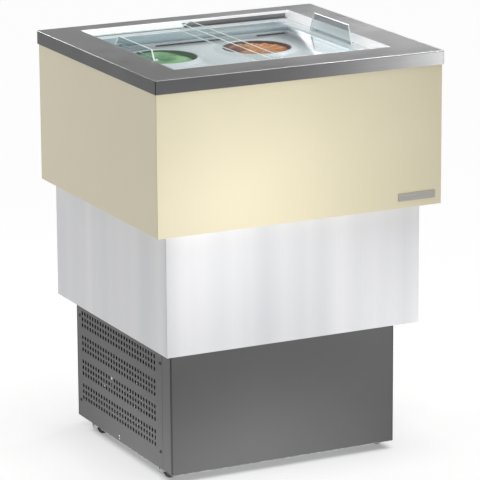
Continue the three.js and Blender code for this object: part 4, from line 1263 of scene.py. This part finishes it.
def condenser():
    """Thin upright fins on one tube that runs back and forth in nine passes, with return bends at both ends.
    """
    low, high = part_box("condenser")
    fin_count = 52
    bend = 9 * MM
    fin_front, fin_back = low.y + bend, high.y - bend
    bm = bmesh.new()
    for k in range(fin_count):
        y = fin_front + (fin_back - fin_front) * k / (fin_count - 1)
        block(bm, (low.x + 1 * MM, y - 0.3 * MM, low.z + 3 * MM), (high.x, y + 0.3 * MM, high.z - 3 * MM))
    publish("condenser_fins", bm, "fin_aluminium", replaces=["condenser"])
    pipe = bmesh.new()
    rows = 9
    x = (low.x + high.x) / 2
    points = []
    for row in range(rows):
        z = low.z + 14 * MM + (high.z - low.z - 28 * MM) * row / (rows - 1)
        ends = (low.y + 4 * MM, high.y - 4 * MM)
        points += [(x, ends[row % 2], z), (x, ends[(row + 1) % 2], z)]
    tube(pipe, rounded(points, 10 * MM, 5), 3.6 * MM)
    publish("condenser_tube", pipe, "copper")
    ends = bmesh.new()
    for y in (low.y + bend - 2 * MM, high.y - bend + 1 * MM):
        block(ends, (low.x, y, low.z), (high.x, y + 1.2 * MM, high.z))
    publish("condenser_end_plates", ends, "zinc", bevel=0.4 * MM)


def fan_blades():
    """Five swept and twisted blades on a pressed hub."""
    low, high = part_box("fan_blades")
    centre = (low + high) / 2
    radius = (high.z - low.z) / 2
    bm = bmesh.new()
    hub = 22 * MM
    blade_count = 5
    out_steps, chord_steps = 12, 8
    for blade in range(blade_count):
        place = Matrix.Translation(centre) @ Matrix.Rotation(2 * math.pi * blade / blade_count, 4, "X")
        rings = []
        for i in range(out_steps + 1):
            t = i / out_steps
            r = hub - 3 * MM + (radius * 0.985 - hub + 3 * MM) * t
            pitch = math.radians(34 - 14 * t)
            half_chord = (20 + 6 * math.sin(math.pi * t * 0.8)) * MM
            sweep = 0.16 * t * t
            ring = []
            for j in range(chord_steps + 1):
                s = 2 * j / chord_steps - 1
                around = s * half_chord * math.cos(pitch) / r + sweep
                camber = 2.2 * MM * (1 - s * s)
                axial = s * half_chord * math.sin(pitch) * 0.62 + camber
                axial = max(low.x - centre.x + 1 * MM, min(high.x - centre.x - 1 * MM, axial))
                spot = Vector((axial, -r * math.sin(around), r * math.cos(around)))
                ring.append(bm.verts.new(place @ spot))
            rings.append(ring)
        bridge(bm, rings, wrap=False)
    publish(
        "fan_blade_set", bm, "fin_aluminium", body="fan", replaces=["fan_blades"],
        sheet=1.2 * MM, outward=RIGHT,
    )
    rim = hub / MM
    profile = [(4.4, -6), (rim, -6), (rim, 5), (rim - 3, 7), (9, 7), (8, 5), (4.4, 5), (4.4, -6)]
    cup = lathe(bmesh.new(), in_mm(profile), 48, aimed(centre, RIGHT))
    bmesh.ops.remove_doubles(cup, verts=cup.verts, dist=1e-7)
    publish("fan_hub", cup, "fin_aluminium", body="fan", replaces=["fan_blades"])


# ---------------------------------------------------------------- controls

def control_details():
    """The panel's screws, its dark display, and the arrows on the two buttons."""
    low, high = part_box("controller_panel")
    face, middle = high.y, middle_of("controller_panel")
    screws = bmesh.new()
    for x in (low.x + 5 * MM, high.x - 5 * MM):
        for z in (low.z + 5 * MM, high.z - 5 * MM):
            screw(screws, (x, face, z), BACK, 2.4 * MM)
    publish("controller_screws", screws, "button_metal")
    left, right, half = middle.x + 24.3 * MM, middle.x + 49.7 * MM, 8.7 * MM
    sunk, thick = 0.4 * MM, 0.6 * MM
    near, far = (left, face - sunk - thick, middle.z - half), (right, face - sunk, middle.z + half)
    publish("controller_display", block(bmesh.new(), near, far), "black_enamel", bevel=0.2 * MM)
    size = 2.4 * MM
    arrow = [(-size, -size * 0.6), (size, -size * 0.6), (0, size * 0.9)]
    for node, spin in (("button_up", 0), ("button_down", math.pi)):
        button = middle_of(node)
        place = aimed((button.x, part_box(node)[1].y, button.z), BACK, spin)
        publish(node + "_arrow", prism(bmesh.new(), arrow, 0.25 * MM, place), "black_plastic", body=node)


def cable_gland():
    """A hexagon body, a nose with the cable's hole, and the thread that goes through the panel."""
    centre = middle_of("cable_gland")
    place = aimed((centre.x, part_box("base_rear")[1].y, centre.z), BACK)
    bm = prism(bmesh.new(), rounded_profile(polygon(6, 13 * MM), 1.2 * MM, 3, closed=True), 5 * MM, place)
    nose = [(4.2, 4.8), (10, 4.8), (10.4, 7), (10, 10), (8.4, 15), (6, 16), (4.2, 16), (4.2, 4.8)]
    thread = [(4.2, -14), (8, -14), (8, 0.2), (4.2, 0.2), (4.2, -14)]
    for profile in (nose, thread):
        lathe(bm, in_mm(profile), 36, place)
    publish("cable_gland_body", bm, "black_plastic", replaces=["cable_gland"])


# ---------------------------------------------------------------- the CAD nodes that stay

EDGE_RADIUS = {
    "lid_frame": 0.9 * MM,
    "badge_plate": 0.5 * MM,
    "electrical_box": 3 * MM,
    "controller_panel": 0.7 * MM,
    "power_switch": 0.8 * MM,
    "fan_motor": 1 * MM,
}
DEFAULT_EDGE = 0.4 * MM
UNROUNDED = (
    "evaporator_coil", "liquid_pipe", "suction_pipe", "filter_drier", "foam_insulation", "well_liner",
)


def dress_nodes():
    """Gives each CAD node its finish and, where it still shows, its softened edges."""
    slots = {part["node"]: part["material_slot"] for part in frame["record"]["subparts"]}
    for name, node in frame["nodes"].items():
        node.data.materials.clear()
        node.data.materials.append(FINISHES[slots[name]])
        if node.hide_render:
            continue
        soften(node, 0.0 if name in UNROUNDED else EDGE_RADIUS.get(name, DEFAULT_EDGE))


# ---------------------------------------------------------------- stage and light

FLOOR_REACH = 40.0
FLOOR_GLOW = 0.66
SHADES = ((0.015, 0.01, 0.3), (0.0, 0.16, 0.09))   # metres inside and outside the base's edge, and how dark each painted shadow is


def make_floor():
    """A pale floor that glows a little, and less so under the cabinet and close to it, as a painted shadow.
    """
    bm = bmesh.new()
    ways = ((-1, -1), (1, -1), (1, 1), (-1, 1))
    bm.faces.new([bm.verts.new((x * FLOOR_REACH, y * FLOOR_REACH, 0)) for x, y in ways])
    mesh = bpy.data.meshes.new("floor")
    bm.to_mesh(mesh)
    bm.free()
    g = material_graph("floor")
    base_low, base_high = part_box("base_front")
    painted_glow = FLOOR_GLOW
    for inner, outer, depth in SHADES:
        across, along = [
            g.span(g.math("ABSOLUTE", g.along(axis)), reach - inner, reach + outer, 1.0, 0.0)
            for axis, reach in ((0, base_high.x), (1, -base_low.y))
        ]
        # painted shadow: the floor gives off less light under the cabinet and next to it
        shade = g.math("MULTIPLY", g.math("MULTIPLY", across, along), depth)
        painted_glow = g.math("SUBTRACT", painted_glow, shade)
    g.done(g.surface(
        Base_Color=linear("b4b4b4"),
        Roughness=0.45,
        Specular_IOR_Level=0.2,
        Emission_Color=linear("ffffff"),
        Emission_Strength=painted_glow,
    ))
    mesh.materials.append(g.owner)
    floor = bpy.data.objects.new("floor", mesh)
    SCENE.collection.objects.link(floor)


def lamp(name, kind, place, target, energy, roll=0.0, only=(), **settings):
    """A light at place that points at target and isn't seen by the camera. It can light only some pieces."""
    data = bpy.data.lights.new(name, kind)
    data.energy = energy
    for key, value in settings.items():
        setattr(data, key, value)
    made = bpy.data.objects.new(name, data)
    towards = (Vector(target) - Vector(place)).to_track_quat("-Z", "Y").to_matrix().to_4x4()
    made.matrix_world = Matrix.Translation(place) @ towards @ Matrix.Rotation(math.radians(roll), 4, "Z")
    made.visible_camera = False
    SCENE.collection.objects.link(made)
    if only:
        lit = bpy.data.collections.new(name + "_lit")
        for piece in only:
            lit.objects.link(bpy.data.objects[piece])
        made.light_linking.receiver_collection = lit


def spot(name, place, target, energy, cone, softness, blend=1.0):
    """A spotlight. cone is its whole angle in degrees, and softness is the radius of its source."""
    lamp(name, "SPOT", place, target, energy,
         spot_size=math.radians(cone), spot_blend=blend, shadow_soft_size=softness)


def softbox(name, place, target, energy, width, height, **settings):
    lamp(name, "AREA", place, target, energy, shape="RECTANGLE", size=width, size_y=height, **settings)


ROOM_LIGHT = 0.26


def make_world():
    """A white room: plain white where the camera sees it, and dimmer as a light."""
    g = Graph(bpy.data.worlds.new("studio"), "World")
    seen = g.node("Background", {"Color": linear("ffffff"), "Strength": 1.0}).outputs[0]
    room = g.node("Background", {"Color": linear("ffffff"), "Strength": ROOM_LIGHT}).outputs[0]
    to_camera = g.node("LightPath").outputs["Is Camera Ray"]
    SCENE.world = g.done(g.node("MixShader", {0: to_camera, 1: room, 2: seen}).outputs[0])


def make_light():
    """A soft ceiling, a key from the front, and small lights for the base, the well, the lids and the rim."""
    make_world()
    clear_pieces = ("lower_lid_clear", "upper_lid_clear", "lower_lid_handle_clear", "upper_lid_handle_clear")
    lamp("ceiling", "SUN", (1, -0.6, 4), (0, 0, 0), 1.5, angle=math.radians(60))
    spot("key", (0.6, -5.2, 1.1), (-0.16, -0.36, 0.72), 780, 11.6, 0.4)
    spot("low_front", (-2.6, -3.2, 0.3), (-0.07, -0.26, -0.1), 1250, 11.5, 0.15)
    spot("well", (1.5, 1.1, 2.9), (0.0, 0.03, 1.0), 170, 22, 0.25, blend=0.6)
    softbox("back_right", (1.83, 2.03, 1.23), (1.34, 1.03, 1.18), 19.5, 1.2, 0.9, roll=38, only=clear_pieces)
    spot("low_left", (-3.2, 0.2, 0.3), (-0.32, 0.02, -0.07), 330, 13, 0.15)
    spot("right_end", (1.3, -2.3, 0.5), (0.35, -0.29, 0.27), 75, 16, 0.2)
    softbox("edge", (-0.95, 1.8, 1.6), (-0.4, 0, 1.06), 8, 0.35, 0.6)
    softbox("kicker", (1.15, -1.75, 0.62), (0.4, -0.36, 1.05), 1.4, 0.45, 0.45, only=("worktop_sheet",))
    SCENE.view_settings.view_transform = "Standard"


# ---------------------------------------------------------------- assembly

FINISHES = make_finishes()
SMOOTH = smooth_group()

make_camera()
make_floor()

worktop()
for side_name in ("left", "right"):
    side_grille(side_name)
    side_screws(side_name)
base_trim()
service_panel()
tub_plate()
tubs()
for tub_name, flavour in zip(TUBS, ("pistachio", "caramel", "strawberry", "vanilla")):
    ice_cream(tub_name, flavour)
for lid_name in ("upper_lid", "lower_lid"):
    clear_part(lid_name, lid_name)
    clear_part(lid_name + "_handle", lid_name)
    handle_screws(lid_name + "_handle", lid_name)
lid_fold()
for corner_name in CORNERS:
    caster_wheel(corner_name)
    caster_details(corner_name)
compressor()
condenser()
fan_blades()
control_details()
cable_gland()
dress_nodes()
make_light()
